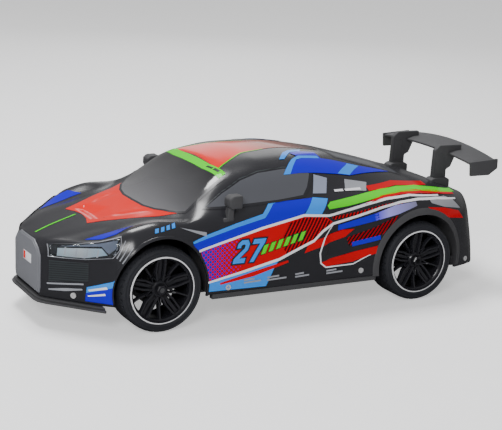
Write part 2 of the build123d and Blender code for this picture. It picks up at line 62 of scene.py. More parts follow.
# ---------------------------------------------------------------- finishes
class NodeSheet:
    """Short ways to add and join shader nodes in one tree."""

    def __init__(self, tree: bpy.types.NodeTree) -> None:
        """Start on a tree.

        Args:
            tree: The node tree that gets the nodes.
        """
        self.tree = tree

    def add(self, kind: str, settings: Optional[dict] = None, **inputs: object) -> bpy.types.Node:
        """Add one node.

        Args:
            kind: The node's type name.
            settings: Its own properties, such as a Math node's operation.
            inputs: Socket values or sockets to link, by socket name with _ for a space; i0, i1 mean a number.

        Returns:
            The new node.
        """
        node = self.tree.nodes.new(kind)
        for key, value in (settings or {}).items():
            setattr(node, key, value)
        for key, value in inputs.items():
            index = int(key[1:]) if key[0] == "i" and key[1:].isdigit() else key.replace("_", " ")
            socket = node.inputs[index]
            if isinstance(value, bpy.types.NodeSocket):
                self.tree.links.new(value, socket)
            else:
                socket.default_value = value
        return node

    def math(self, operation: str, a: object, b: object = 0.0, clamp: bool = False) -> bpy.types.NodeSocket:
        """Add a Math node and return its output.

        Args:
            operation: The Math node's operation.
            a: First value or socket.
            b: Second value or socket.
            clamp: Whether the result is kept in 0 to 1.

        Returns:
            The output socket.
        """
        return self.add("ShaderNodeMath", {"operation": operation, "use_clamp": clamp}, i0=a, i1=b).outputs[0]

    def mix(self, factor: object, a: object, b: object) -> bpy.types.NodeSocket:
        """Mix two colours.

        Args:
            factor: Mask value or socket.
            a: Colour where the mask is 0.
            b: Colour where it is 1.

        Returns:
            The mixed colour's socket.
        """
        node = self.add("ShaderNodeMix", {"data_type": "RGBA"}, i0=factor)
        for index, value in ((6, a), (7, b)):
            if isinstance(value, bpy.types.NodeSocket):
                self.tree.links.new(value, node.inputs[index])
            else:
                node.inputs[index].default_value = (*value, 1.0)
        return node.outputs[2]


class SharedEffects:
    """The shader groups that several finishes place with their own values."""

    @staticmethod
    def grain() -> bpy.types.NodeTree:
        """Moulded grain: a fine height and a slow variation of the shine."""
        found = bpy.data.node_groups.get("moulded_grain")
        if found:
            return found
        group = bpy.data.node_groups.new("moulded_grain", "ShaderNodeTree")
        for name, default in (("Fine", 1500.0), ("Broad", 40.0), ("Low", 0.2), ("High", 0.3)):
            socket = group.interface.new_socket(name, in_out="INPUT", socket_type="NodeSocketFloat")
            socket.default_value = default
        group.interface.new_socket("Height", in_out="OUTPUT", socket_type="NodeSocketFloat")
        group.interface.new_socket("Roughness", in_out="OUTPUT", socket_type="NodeSocketFloat")
        sheet = NodeSheet(group)
        given = sheet.add("NodeGroupInput")
        place = sheet.add("ShaderNodeTexCoord").outputs["Object"]
        fine = sheet.add("ShaderNodeTexNoise", Vector=place, Scale=given.outputs["Fine"], Detail=3.0)
        broad = sheet.add("ShaderNodeTexNoise", Vector=place, Scale=given.outputs["Broad"], Detail=4.0)
        shine = sheet.add("ShaderNodeMapRange", Value=broad.outputs[0], From_Min=0.3, From_Max=0.7,
                          To_Min=given.outputs["Low"], To_Max=given.outputs["High"])
        out = sheet.add("NodeGroupOutput")
        group.links.new(fine.outputs[0], out.inputs["Height"])
        group.links.new(shine.outputs[0], out.inputs["Roughness"])
        return group

    @staticmethod
    def wear() -> bpy.types.NodeTree:
        """Edge wear: a mask that is 1 on sharp outer edges, broken up by noise."""
        found = bpy.data.node_groups.get("edge_wear")
        if found:
            return found
        group = bpy.data.node_groups.new("edge_wear", "ShaderNodeTree")
        for name, default in (("Radius", 0.0006), ("Amount", 0.5)):
            socket = group.interface.new_socket(name, in_out="INPUT", socket_type="NodeSocketFloat")
            socket.default_value = default
        group.interface.new_socket("Mask", in_out="OUTPUT", socket_type="NodeSocketFloat")
        sheet = NodeSheet(group)
        given = sheet.add("NodeGroupInput")
        place = sheet.add("ShaderNodeTexCoord").outputs["Object"]
        edge = sheet.add("ShaderNodeBevel", {"samples": 4}, Radius=given.outputs["Radius"])
        flat = sheet.add("ShaderNodeNewGeometry")
        dot = sheet.add("ShaderNodeVectorMath", {"operation": "DOT_PRODUCT"}, i0=edge.outputs[0],
                        i1=flat.outputs["Normal"])
        noise = sheet.add("ShaderNodeTexNoise", Vector=place, Scale=420.0, Detail=4.0)
        turned = sheet.math("MULTIPLY", sheet.math("SUBTRACT", 1.0, dot.outputs["Value"]), 5.0, clamp=True)
        broken = sheet.math("MULTIPLY", turned, noise.outputs[0])
        mask = sheet.math("MULTIPLY", broken, given.outputs["Amount"], clamp=True)
        out = sheet.add("NodeGroupOutput")
        group.links.new(mask, out.inputs["Mask"])
        return group


@dataclass(frozen=True)
class Finish:
    """A moulded, painted or metal surface.

    Attributes:
        name: Material name.
        colour: Base colour.
        low: Least roughness.
        high: Most roughness.
        grain: Bump strength of the fine grain.
        fine: Scale of the fine grain.
        coat: Clear coat weight.
        metal: Metallic value.
        worn: How much lighter sharp edges get.
        clear: Transmission weight.
        specular: Specular level.
    """

    name: str
    colour: Colour
    low: float = 0.2
    high: float = 0.3
    grain: float = 0.1
    fine: float = 1500.0
    coat: float = 0.0
    metal: float = 0.0
    worn: float = 0.0
    clear: float = 0.0
    specular: float = 0.5

    def tint(self, sheet: NodeSheet) -> object:
        """The base colour: a constant here, a socket in finishes with a pattern."""
        return self.colour

    def build(self) -> bpy.types.Material:
        """Make the material, or return it if it is made already."""
        found = bpy.data.materials.get(self.name)
        if found:
            return found
        material = bpy.data.materials.new(self.name)
        material.use_nodes = True
        sheet = NodeSheet(material.node_tree)
        shader = material.node_tree.nodes["Principled BSDF"]
        effect = sheet.add("ShaderNodeGroup", {"node_tree": SharedEffects.grain()},
                           Fine=self.fine, Broad=45.0, Low=self.low, High=self.high)
        bump = sheet.add("ShaderNodeBump", Strength=self.grain, Distance=0.00012,
                         Height=effect.outputs["Height"])
        link = material.node_tree.links.new
        link(effect.outputs["Roughness"], shader.inputs["Roughness"])
        link(bump.outputs[0], shader.inputs["Normal"])
        colour = self.tint(sheet)
        if self.worn:
            wear = sheet.add("ShaderNodeGroup", {"node_tree": SharedEffects.wear()}, Radius=0.0005,
                             Amount=self.worn)
            lighter = tuple(min(1.0, c * 1.6 + 0.16) for c in self.colour)
            colour = sheet.mix(wear.outputs[0], colour, lighter)
        if isinstance(colour, bpy.types.NodeSocket):
            link(colour, shader.inputs["Base Color"])
        else:
            shader.inputs["Base Color"].default_value = (*colour, 1.0)
        shader.inputs["Metallic"].default_value = self.metal
        shader.inputs["Coat Weight"].default_value = self.coat
        shader.inputs["Coat Roughness"].default_value = 0.04
        shader.inputs["Specular IOR Level"].default_value = self.specular
        shader.inputs["Transmission Weight"].default_value = self.clear
        return material


@dataclass(frozen=True)
class Halftone(Finish):
    """Printed dots of a second colour that shrink along the car.

    Attributes:
        dot: Dot colour.
        pitch: Distance between dots in metres.
        full_x: Where the dots are largest.
        none_x: Where they have shrunk to nothing.
    """

    dot: Colour = (0.02, 0.03, 0.6)
    pitch: float = 0.0016
    full_x: float = 0.064
    none_x: float = 0.036

    def tint(self, sheet: NodeSheet) -> object:
        """Dots on a diagonal grid in the side view."""
        place = sheet.add("ShaderNodeTexCoord").outputs["Object"]
        split = sheet.add("ShaderNodeSeparateXYZ", Vector=place)
        x, z = split.outputs[0], split.outputs[2]
        step = math.pi / self.pitch
        first = sheet.math("SINE", sheet.math("MULTIPLY", sheet.math("ADD", x, z), step))
        second = sheet.math("SINE", sheet.math("MULTIPLY", sheet.math("SUBTRACT", x, z), step))
        wave = sheet.math("ABSOLUTE", sheet.math("MULTIPLY", first, second))
        size = sheet.add("ShaderNodeMapRange", Value=x, From_Min=self.none_x, From_Max=self.full_x,
                         To_Min=1.05, To_Max=0.12)
        mask = sheet.math("GREATER_THAN", wave, size.outputs[0])
        return sheet.mix(mask, self.colour, self.dot)


@dataclass(frozen=True)
class Hatch(Finish):
    """Printed slanting lines of a second colour.

    Attributes:
        line: Line colour.
        pitch: Distance between lines in metres.
        slant: Shift of a line along X for one unit of Z.
        share: Width of a line as a share of the pitch.
    """

    line: Colour = (0.006, 0.006, 0.007)
    pitch: float = 0.0016
    slant: float = 0.9
    share: float = 0.5

    def tint(self, sheet: NodeSheet) -> object:
        """Lines from a ramp that repeats along X and Z."""
        place = sheet.add("ShaderNodeTexCoord").outputs["Object"]
        split = sheet.add("ShaderNodeSeparateXYZ", Vector=place)
        ramp = sheet.math("ADD", split.outputs[0], sheet.math("MULTIPLY", split.outputs[2], self.slant))
        part = sheet.math("FRACT", sheet.math("DIVIDE", sheet.math("ADD", ramp, 1.0), self.pitch))
        return sheet.mix(sheet.math("LESS_THAN", part, self.share), self.colour, self.line)


@dataclass(frozen=True)
class Fade(Finish):
    """A colour that turns into others along the car: a print, and on the windscreen also a painted reflection.

    Attributes:
        stops: (x in metres, colour) from the front to the rear.
    """

    stops: tuple[tuple[float, Colour], ...] = ()

    def tint(self, sheet: NodeSheet) -> object:
        """A colour ramp along X."""
        place = sheet.add("ShaderNodeTexCoord").outputs["Object"]
        split = sheet.add("ShaderNodeSeparateXYZ", Vector=place)
        first, last = self.stops[0][0], self.stops[-1][0]
        span = sheet.add("ShaderNodeMapRange", Value=split.outputs[0], From_Min=first, From_Max=last)
        ramp = sheet.add("ShaderNodeValToRGB", Fac=span.outputs[0])
        points = ramp.color_ramp.elements
        while len(points) < len(self.stops):
            points.new(0.5)
        for point, (x, colour) in zip(points, self.stops):
            point.position = (x - first) / (last - first)
            point.color = (*colour, 1.0)
        return ramp.outputs[0]


GLOSS: dict[str, float] = dict(low=0.10, high=0.16, grain=0.03, fine=700.0, coat=0.0, specular=0.16)
BLACK = Finish("gloss_black", (0.0005, 0.0005, 0.0007), low=0.08, high=0.14, grain=0.03, fine=700.0,
               specular=0.13)
RED = Finish("print_red", (0.55, 0.0, 0.006), **GLOSS)
BLUE = Finish("print_blue", (0.012, 0.004, 0.55), **GLOSS)
SKY = Finish("print_light_blue", (0.03, 0.27, 0.85), **GLOSS)
GREEN = Finish("print_green", (0.07, 0.72, 0.0), **GLOSS)
# White and grey are print colours and also paint highlights: the side intake's edge, the rear fender band and
# the ring round each headlight.
WHITE_PRINT_AND_HIGHLIGHT = Finish("print_white_and_painted_highlight", (0.82, 0.82, 0.86), **GLOSS)
GREY_PRINT_AND_HIGHLIGHT = Finish("print_grey_and_painted_highlight", (0.30, 0.31, 0.34), **GLOSS)
LAVENDER = Fade("print_lavender", (0.3, 0.3, 0.8), **GLOSS,
                stops=((-0.052, (0.05, 0.03, 0.75)), (-0.062, (0.35, 0.33, 0.85)), (-0.084, (0.2, 0.2, 0.3))))
CORAL = Finish("print_coral", (0.78, 0.018, 0.012), **GLOSS)
DOTS = Halftone("print_halftone", (0.55, 0.0, 0.006), **GLOSS, dot=(0.012, 0.004, 0.55), pitch=0.0030)
LINES = Hatch("print_hatch", (0.50, 0.0, 0.006), **GLOSS, share=0.5, slant=0.5, pitch=0.0024)
DARK_LINES = Hatch("print_dark_hatch", (0.34, 0.0, 0.006), **GLOSS, share=0.58, slant=0.7, pitch=0.0024)
ROOF_FADE = Fade("print_roof_fade", (0.8, 0.1, 0.05), **GLOSS,
                 stops=((0.041, (0.78, 0.02, 0.012)), (0.018, (0.72, 0.04, 0.018)),
                        (-0.004, (0.30, 0.05, 0.02)), (-0.04, (0.004, 0.003, 0.003))))
# Painted grey window with a painted reflection: lighter at the windscreen's foot, darker towards the roof.
GLAZING_WITH_PAINTED_REFLECTION = Fade("print_glazing_and_painted_reflection", (0.08, 0.08, 0.09), low=0.10, high=0.16, grain=0.03, fine=700.0, coat=0.4,
               specular=0.5, stops=((0.083, (0.16, 0.16, 0.17)), (0.064, (0.07, 0.07, 0.075)),
                                    (0.046, (0.012, 0.012, 0.014))))
SIDE_GLAZING = Finish("print_side_glazing", (0.085, 0.088, 0.10), **GLOSS)
BLUE_GREY = Finish("print_blue_grey", (0.26, 0.29, 0.38), **GLOSS)
SLATE = Hatch("mesh_slate", (0.030, 0.036, 0.040), low=0.3, high=0.4, grain=0.2, line=(0.010, 0.012, 0.014),
              pitch=0.0104, slant=8.0, share=0.35)
LAMP = Fade("lamp_reflector", (0.6, 0.8, 1.0), low=0.1, high=0.2, grain=0.35, fine=260.0, coat=0.5,
            stops=((0.142, (0.75, 0.93, 1.0)), (0.130, (1.0, 1.0, 1.0)), (0.119, (0.62, 0.86, 1.0)),
                   (0.110, (0.25, 0.3, 0.36))))
CLEAR = Finish("clear_lens", (0.9, 0.95, 1.0), low=0.02, high=0.04, grain=0.0, clear=1.0)
TAIL_RED = Finish("red_lens", (0.55, 0.01, 0.012), low=0.08, high=0.12, grain=0.05, coat=0.5)
MATTE = Finish("matte_black", (0.0014, 0.0014, 0.0016), low=0.34, high=0.46, grain=0.35, fine=2600.0, worn=0.04,
               specular=0.16)
PLATE = Finish("plate_grey", (0.17, 0.175, 0.195), low=0.35, high=0.45, grain=0.25, fine=2200.0, worn=0.2)
RUBBER = Finish("tyre_rubber", (0.018, 0.019, 0.024), low=0.62, high=0.78, grain=0.5, fine=1400.0, worn=0.2,
                specular=0.3)
RIM = Finish("rim_black", (0.0006, 0.0006, 0.0008), low=0.22, high=0.32, grain=0.05, specular=0.08)
PAINT = Finish("ring_white", (0.78, 0.78, 0.8), low=0.2, high=0.3, grain=0.05, coat=0.3)
STEEL = Finish("bright_steel", (0.80, 0.80, 0.81), low=0.25, high=0.4, grain=0.1, metal=0.55, worn=0.3)
BLACKENED = Finish("blackened_steel", (0.03, 0.03, 0.034), low=0.3, high=0.42, grain=0.1, metal=1.0)
BRASS = Finish("turned_brass", (0.70, 0.48, 0.2), low=0.2, high=0.3, grain=0.1, metal=1.0)
SILVER = Finish("silvered", (0.75, 0.77, 0.8), low=0.12, high=0.2, grain=0.2, metal=1.0)
NYLON = Finish("white_nylon", (0.78, 0.78, 0.74), low=0.35, high=0.45, grain=0.2, worn=0.1)
BOARD = Finish("board_green", (0.02, 0.16, 0.06), low=0.3, high=0.4, grain=0.4, fine=900.0)
WRAP = Finish("battery_wrap", (0.02, 0.10, 0.38), low=0.15, high=0.3, grain=0.3, fine=300.0, coat=0.3)

SLOT_FINISH: dict[str, Finish] = {
    "gloss_black": BLACK, "matte_black": MATTE, "grey_plate": PLATE, "tyre": RUBBER, "rim_black": RIM,
    "lens_clear": CLEAR, "lens_red": TAIL_RED, "silver_plastic": SILVER, "steel": STEEL, "brass": BRASS,
    "nylon_white": NYLON, "board_green": BOARD, "battery_wrap": WRAP}
NODE_FINISH: dict[str, Finish] = {"rear_axle": BLACKENED}


# ---------------------------------------------------------------- modelling helpers
class Bench:
    """Steps that every piece goes through: one object active, edited, finished and put on its body."""

    @staticmethod
    def clear() -> None:
        """Select nothing."""
        bpy.ops.object.select_all(action="DESELECT")

    @staticmethod
    def only(piece: bpy.types.Object) -> None:
        """Make piece the only selected and the active object."""
        Bench.clear()
        piece.select_set(True)
        bpy.context.view_layer.objects.active = piece

    @staticmethod
    def mesh(name: str, points: Sequence[Sequence[float]], faces: Sequence[Sequence[int]],
             edges: Sequence[Sequence[int]] = ()) -> bpy.types.Object:
        """A mesh object from points in millimetres.

        Args:
            name: Object name.
            points: Corner positions in millimetres.
            faces: Corner numbers of each face.
            edges: Corner numbers of loose edges.

        Returns:
            The linked object.
        """
        data = bpy.data.meshes.new(name)
        data.from_pydata([(x * MM, y * MM, z * MM) for x, y, z in points], [tuple(e) for e in edges],
                         [tuple(f) for f in faces])
        piece = bpy.data.objects.new(name, data)
        bpy.context.scene.collection.objects.link(piece)
        return piece

    @staticmethod
    def turn(plane: str, a: float, b: float, c: float) -> Point3:
        """(x, y, z) of a point at (a, b) in a plane and c off it."""
        return {"XZ": (a, c, b), "XY": (a, b, c), "YZ": (c, a, b)}[plane]

    @staticmethod
    def outwards(piece: bpy.types.Object) -> None:
        """Turn all faces of a closed piece outwards."""
        Bench.only(piece)
        bpy.ops.object.mode_set(mode="EDIT")
        bpy.ops.mesh.select_all(action="SELECT")
        bpy.ops.mesh.normals_make_consistent(inside=False)
        bpy.ops.object.mode_set(mode="OBJECT")

    @staticmethod
    def thicken(piece: bpy.types.Object, wall: float) -> None:
        """Give a sheet a wall in millimetres, on the side away from its normals."""
        Bench.only(piece)
        modifier = piece.modifiers.new("wall", "SOLIDIFY")
        modifier.thickness = wall * MM
        modifier.offset = -1.0
        bpy.ops.object.modifier_apply(modifier=modifier.name)

    @staticmethod
    def prism(name: str, outline: Sequence[Point2], plane: str, low: float, high: float,
              bevel: float = 0.4) -> bpy.types.Object:
        """An outline drawn in a plane, extruded and with its edges rounded.

        Args:
            name: Object name.
            outline: Corners in millimetres, in the plane's two axes.
            plane: "XZ", "XY" or "YZ".
            low: Where the extrusion starts on the third axis.
            high: Where it ends.
            bevel: Edge radius in millimetres, or 0.

        Returns:
            The finished object.
        """
        piece = Bench.mesh(name, [Bench.turn(plane, a, b, low) for a, b in outline], [range(len(outline))])
        Bench.only(piece)
        bpy.ops.object.mode_set(mode="EDIT")
        bpy.ops.mesh.select_all(action="SELECT")
        shift = Vector(Bench.turn(plane, 0, 0, high - low)) * MM
        bpy.ops.mesh.extrude_region_move(TRANSFORM_OT_translate={"value": shift})
        bpy.ops.mesh.select_all(action="SELECT")
        bpy.ops.mesh.normals_make_consistent(inside=False)
        bpy.ops.object.mode_set(mode="OBJECT")
        if bevel:
            Bench.bevel(piece, bevel)
        return piece

    @staticmethod
    def bevel(piece: bpy.types.Object, width: float, segments: int = 3, angle: float = 30.0) -> None:
        """Round the sharp edges and shade smooth by angle.

        Args:
            piece: The object.
            width: Bevel width in millimetres.
            segments: Steps across the bevel.
            angle: Least edge angle in degrees.
        """
        Bench.only(piece)
        modifier = piece.modifiers.new("rounding", "BEVEL")
        modifier.width = width * MM
        modifier.segments = segments
        modifier.limit_method = "ANGLE"
        modifier.angle_limit = math.radians(angle)
        modifier.harden_normals = False
        bpy.ops.object.modifier_apply(modifier=modifier.name)
        bpy.ops.object.shade_smooth_by_angle(angle=math.radians(35))

    @staticmethod
    def spin(name: str, profile: Sequence[Point2], centre: Point3, side: int,
             steps: int = 96) -> bpy.types.Object:
        """Turn a profile about the wheel axis.

        Args:
            name: Object name.
            profile: (radius, distance outwards) corners in millimetres; closed.
            centre: Middle of the wheel in millimetres.
            side: 1 for the left of the car, -1 for the right.
            steps: Steps round the circle.

        Returns:
            The closed object.
        """
        cx, cy, cz = centre
        points = [(cx + r, cy + side * out, cz) for r, out in profile]
        count = len(points)
        piece = Bench.mesh(name, points, [], [(k, (k + 1) % count) for k in range(count)])
        Bench.only(piece)
        bpy.ops.object.mode_set(mode="EDIT")
        bpy.ops.mesh.select_all(action="SELECT")
        bpy.ops.mesh.spin(steps=steps, angle=2 * math.pi, center=Vector(centre) * MM, axis=(0, 1, 0))
        bpy.ops.mesh.select_all(action="SELECT")
        bpy.ops.mesh.remove_doubles(threshold=0.00001)
        bpy.ops.mesh.normals_make_consistent(inside=False)
        bpy.ops.object.mode_set(mode="OBJECT")
        bpy.ops.object.shade_smooth_by_angle(angle=math.radians(30))
        return piece

    @staticmethod
    def join(name: str, pieces: Sequence[bpy.types.Object]) -> bpy.types.Object:
        """Join objects into one that keeps every material slot."""
        Bench.clear()
        for piece in pieces:
            piece.select_set(True)
        bpy.context.view_layer.objects.active = pieces[0]
        if len(pieces) > 1:
            bpy.ops.object.join()
        pieces[0].name = name
        pieces[0].data.name = name
        return pieces[0]

    @staticmethod
    def dress(piece: bpy.types.Object, *finishes: Finish) -> bpy.types.Object:
        """Give the object its finishes, one slot each."""
        piece.data.materials.clear()
        for finish in finishes:
            piece.data.materials.append(finish.build())
        return piece

    @staticmethod
    def mount(piece: bpy.types.Object, body: str, slot: str, nodes: Iterable[str] = ()) -> None:
        """Put a finished piece on its body.

        Args:
            piece: The object.
            body: The CAD body it rides on.
            slot: The record's material slot; not used.
            nodes: CAD nodes that it stands for.
        """
        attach(piece, body)
        if nodes:
            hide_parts(*nodes)
        LOG.info("%s: %d faces on %s", piece.name, len(piece.data.polygons), body)


# ---------------------------------------------------------------- body lines, nose to tail, (x, y, z) in mm
BODY_LINES: dict[str, list[Point3]] = {
    "spine": [(146.5, 0, 48.5), (143, 0, 50), (132, 0, 53.3), (122, 0, 55.5), (112, 0, 57.5), (104, 0, 59),
              (88, 0, 62), (80, 0, 64.2), (74, 0, 67.6), (60, 0, 76.8), (45, 0, 86), (34, 0, 89.8),
              (15, 0, 92.6), (-5, 0, 92.8), (-32, 0, 89.8), (-70, 0, 81), (-95, 0, 74), (-118, 0, 67.5),
              (-130, 0, 63.2), (-138, 0, 60)],
    "crown": [(146.5, 10, 48), (143, 12, 49.9), (132, 14, 53.2), (112, 15, 57.4), (88, 16, 61.8),
              (80, 17, 63.6), (74, 18, 66.6), (60, 20, 75.8), (45, 20.5, 84.9), (34, 20.5, 88.6),
              (15, 20, 91.5), (-5, 20, 91.7), (-32, 19, 88.7), (-70, 18, 80.1), (-95, 18, 73.4),
              (-118, 18, 67.1), (-130, 17, 62.9), (-138, 15, 59.8)],
    "rail": [(146.5, 18, 44.5), (143, 21, 49), (132, 25, 52.8), (122, 27.5, 55), (112, 29.5, 57),
             (88, 33, 61.2), (80, 37, 62.2), (72, 42.5, 63.5), (60, 43, 71), (45, 39.6, 81.2),
             (34, 37.8, 84.8), (15, 37, 87.2), (-5, 36.5, 87.2), (-32, 34.5, 84.2), (-55, 32.5, 79.6),
             (-70, 31.5, 76.6), (-95, 31, 71.2), (-118, 31, 66.2), (-130, 29, 62.2), (-138, 24, 59.4)],
    "belt": [(146.5, 21, 42), (143, 24.2, 46.5), (132, 31, 51.5), (122, 36, 53.6), (112, 38.5, 55.9),
             (104, 40, 58), (88, 42, 60.8), (74, 48, 62.2), (60, 52, 67), (45, 53, 69.2), (15, 53.2, 70.8),
             (-12, 52.5, 71.4), (-32, 50.5, 71.8), (-55, 47.5, 71.6), (-87, 45, 69.2), (-103, 43.5, 67),
             (-118, 41.5, 64.2), (-130, 37.5, 60.8), (-138, 31, 58.4)],
    "shoulder": [(146.5, 21.6, 39), (143, 25.4, 42.5), (132, 36.4, 49), (122, 44.5, 52.2),
                 (112, 49.6, 56.6), (104, 50.8, 60.4), (88, 51.5, 63.4), (74, 54, 62.6), (60, 56.8, 63.6),
                 (45, 57.4, 64.2), (15, 57.6, 65), (-12, 57.6, 65.8), (-40, 57.2, 66.4), (-60, 56.4, 66.6),
                 (-87, 56.2, 65), (-103, 54.2, 63), (-118, 49.5, 60.4), (-130, 43.6, 56.6), (-138, 36, 54)],
    "waist": [(146.5, 21.4, 31), (143, 25.6, 33), (132, 38.2, 38), (122, 48.6, 42), (112, 57, 46),
              (104, 60, 50), (88, 61.4, 53), (74, 60.8, 50), (60, 59.8, 46), (30, 59.4, 43), (0, 59.4, 43),
              (-30, 59.8, 45), (-60, 61, 50), (-87, 61.6, 53), (-103, 60.2, 50), (-118, 55.4, 46),
              (-128, 50.5, 44), (-138, 41, 42)],
    "flank": [(146.5, 20.6, 22), (143, 25, 24), (132, 38, 26), (122, 48.8, 27), (112, 57.6, 28),
              (104, 60.6, 30), (88, 61.6, 30), (60, 60.4, 30), (0, 60, 29.5), (-60, 61, 30),
              (-87, 61.6, 30), (-103, 60.8, 30), (-118, 57, 29), (-132, 50.5, 28), (-138, 45, 27)],
    "sill": [(146.5, 19.8, 16.5), (143, 24.6, 16.5), (132, 37, 16.5), (122, 48, 16.5), (112, 57, 17),
             (104, 60.2, 18), (88, 61.2, 19), (60, 60.2, 19.4), (0, 60, 19.4), (-60, 60.6, 19.4),
             (-87, 61.2, 18.6), (-103, 60.4, 18.2), (-118, 56.6, 17.6), (-135, 49.5, 17.2),
             (-138, 46.5, 17)],
}


# ---------------------------------------------------------------- body surface
def _ease(value: np.ndarray, low: float, high: float) -> np.ndarray:
    """A smooth step from 0 at low to 1 at high."""
    t = np.clip((value - low) / (high - low), 0.0, 1.0)
    return t * t * (3 - 2 * t)


@dataclass
class BodySurface:
    """The painted outside of the body, drawn through eight lines that run nose to tail.

    Attributes:
        lines: For each line, its (x, y, z) knots in millimetres from nose to tail.
        step: Distance between sections in millimetres.
        fine: Points between two lines of a section.
    """

    lines: dict[str, list[Point3]]
    step: float = 1.0
    fine: int = 12
    stations: np.ndarray = field(init=False)
    sections: np.ndarray = field(init=False)

    def __post_init__(self) -> None:
        """Work out all the sections once."""
        start, end = self.lines["spine"][0][0], self.lines["spine"][-1][0]
        count = int(round((start - end) / self.step)) + 1
        self.stations = np.linspace(start, end, count)
        knots = {name: np.array([self.knot(name, x) for x in self.stations]) for name in self.lines}
        self.sections = np.array([self.curve(np.array([knots[name][k] for name in self.lines]))
                                  for k in range(count)])
        self.relief()

    def knot(self, name: str, x: float) -> tuple[float, float]:
        """The (y, z) of one line at x, by a cubic whose slopes never overshoot."""
        knots = self.lines[name]
        if x >= knots[0][0]:
            return knots[0][1:]
        if x <= knots[-1][0]:
            return knots[-1][1:]
        i = next(k for k in range(len(knots) - 1) if knots[k + 1][0] <= x)
        span = knots[i + 1][0] - knots[i][0]
        t = (x - knots[i][0]) / span
        place = []
        for axis in (1, 2):
            here, there = self.slope(knots, i, axis), self.slope(knots, i + 1, axis)
            place.append((2 * t**3 - 3 * t**2 + 1) * knots[i][axis] + (t**3 - 2 * t**2 + t) * span * here
                         + (3 * t**2 - 2 * t**3) * knots[i + 1][axis] + (t**3 - t**2) * span * there)
        return place[0], place[1]

    @staticmethod
    def slope(knots: Sequence[Point3], k: int, axis: int) -> float:
        """Slope of a line at its knot k: the harmonic mean of the rises on both sides, or 0 at a turn."""
        pairs = zip(knots[max(k - 1, 0):], knots[max(k, 1):k + 2])
        rises = [(b[axis] - a[axis]) / (b[0] - a[0]) for a, b in pairs]
        if len(rises) < 2:
            return rises[0]
        a, b = rises
        return 0.0 if a * b <= 0 else 2 * a * b / (a + b)

    def curve(self, half: np.ndarray) -> np.ndarray:
        """One half section from the roof's middle to the sill, as a natural cubic spline.

        Args:
            half: The eight (y, z) knots.

        Returns:
            Points along the half section.
        """
        points = np.vstack([half[:0:-1] * [-1, 1], half])
        gaps = np.hypot(*np.diff(points, axis=0).T)
        size = len(points)
        system, right = np.eye(size), np.zeros((size, 2))
        for i in range(1, size - 1):
            system[i, i - 1:i + 2] = gaps[i - 1], 2 * (gaps[i - 1] + gaps[i]), gaps[i]
            right[i] = 6 * ((points[i + 1] - points[i]) / gaps[i] - (points[i] - points[i - 1]) / gaps[i - 1])
        bend = np.linalg.solve(system, right)
        result = []
        for i in range(len(half) - 1, size - 1):
            g = gaps[i]
            first = (points[i + 1] - points[i]) / g - g * (2 * bend[i] + bend[i + 1]) / 6
            for k in range(self.fine):
                u = g * k / self.fine
                curl = (bend[i + 1] - bend[i]) / (6 * g)
                result.append(points[i] + first * u + bend[i] / 2 * u**2 + curl * u**3)
        result.append(points[-1])
        return np.array(result)

    def relief(self) -> None:
        """Press the hood scoops and the side intakes into the sections."""
        x = self.stations[:, None]
        y, z = self.sections[..., 0], self.sections[..., 1]
        top = z > 52
        rear = 96 + 0.35 * y
        outer = 13.0 + (112 - x) * 0.26
        scoop = _ease(x, rear, rear + 11) * (1 - _ease(x, 106.0, 114.0))
        scoop = scoop * (1 - _ease(y, outer - 1.6, outer + 2.4))
        crease = np.abs(y - (15.4 + (102 - x) * 0.39))
        ridge = (1 - _ease(crease, 0.0, 4.0)) * _ease(x, 79, 88) * (1 - _ease(x, 96, 103))
        side = _ease(-x, 17, 23) * (1 - _ease(-x, 36, 56)) * _ease(z, 29, 34) * (1 - _ease(z, 46, 55))
        self.sections[..., 1] = z - (2.2 * scoop + 0.4 * ridge) * top
        self.sections[..., 0] = y - 2.0 * side * (y > 40)

    def rows(self, x: np.ndarray) -> np.ndarray:
        """Sections at any x, between the two nearest stations."""
        place = np.clip((self.stations[0] - x) / abs(self.stations[1] - self.stations[0]), 0,
                        len(self.stations) - 1.001)
        low = place.astype(int)
        share = (place - low)[:, None, None]
        return self.sections[low] * (1 - share) + self.sections[low + 1] * share

    def side_y(self, x: np.ndarray, z: np.ndarray) -> np.ndarray:
        """Half width of the body at (x, z), seen from the side."""
        rows = self.rows(x)[:, ::-1]
        return self._cross(rows[..., 1], rows[..., 0], z)

    def top_z(self, x: np.ndarray, y: np.ndarray) -> np.ndarray:
        """Height of the body at (x, y), seen from above."""
        rows = self.rows(x)
        return self._cross(rows[..., 0], rows[..., 1], np.abs(y))

    @staticmethod
    def _cross(along: np.ndarray, value: np.ndarray, wanted: np.ndarray) -> np.ndarray:
        """Value where along first reaches wanted in each row."""
        reached = along >= wanted[:, None]
        reached[:, -1] = True
        hit = np.maximum(reached.argmax(axis=1), 1)
        row = np.arange(len(wanted))
        a, b = along[row, hit - 1], along[row, hit]
        share = np.clip((wanted - a) / np.where(np.abs(b - a) < 1e-9, 1e-9, b - a), 0, 1)
        return value[row, hit - 1] * (1 - share) + value[row, hit] * share


class View(Enum):
    """The direction a printed film is laid on from."""

    LEFT = 1
    RIGHT = -1
    TOP = 0


SILL_Z = 19.0


@dataclass(frozen=True)
class Arch:
    """The opening over one wheel: half an ellipse and its short legs.

    Attributes:
        x: Middle of the wheel.
        z: Height of the wheel's middle.
        half: Half its length along the car.
        height: From the wheel's middle to its top.
        inner_y: Nothing nearer the middle of the car is cut.
    """

    x: float
    z: float
    half: float
    height: float
    inner_y: float = 36.0

    def reach(self, x: np.ndarray, z: np.ndarray) -> np.ndarray:
        """Below 1 inside the opening, 1 on its edge."""
        return np.hypot((x - self.x) / self.half, (z - self.z) / self.height)


FRONT_ARCH = Arch(88.0, 25.0, 28.4, 31.0)
REAR_ARCH = Arch(-87.0, 25.0, 31.0, 31.0)


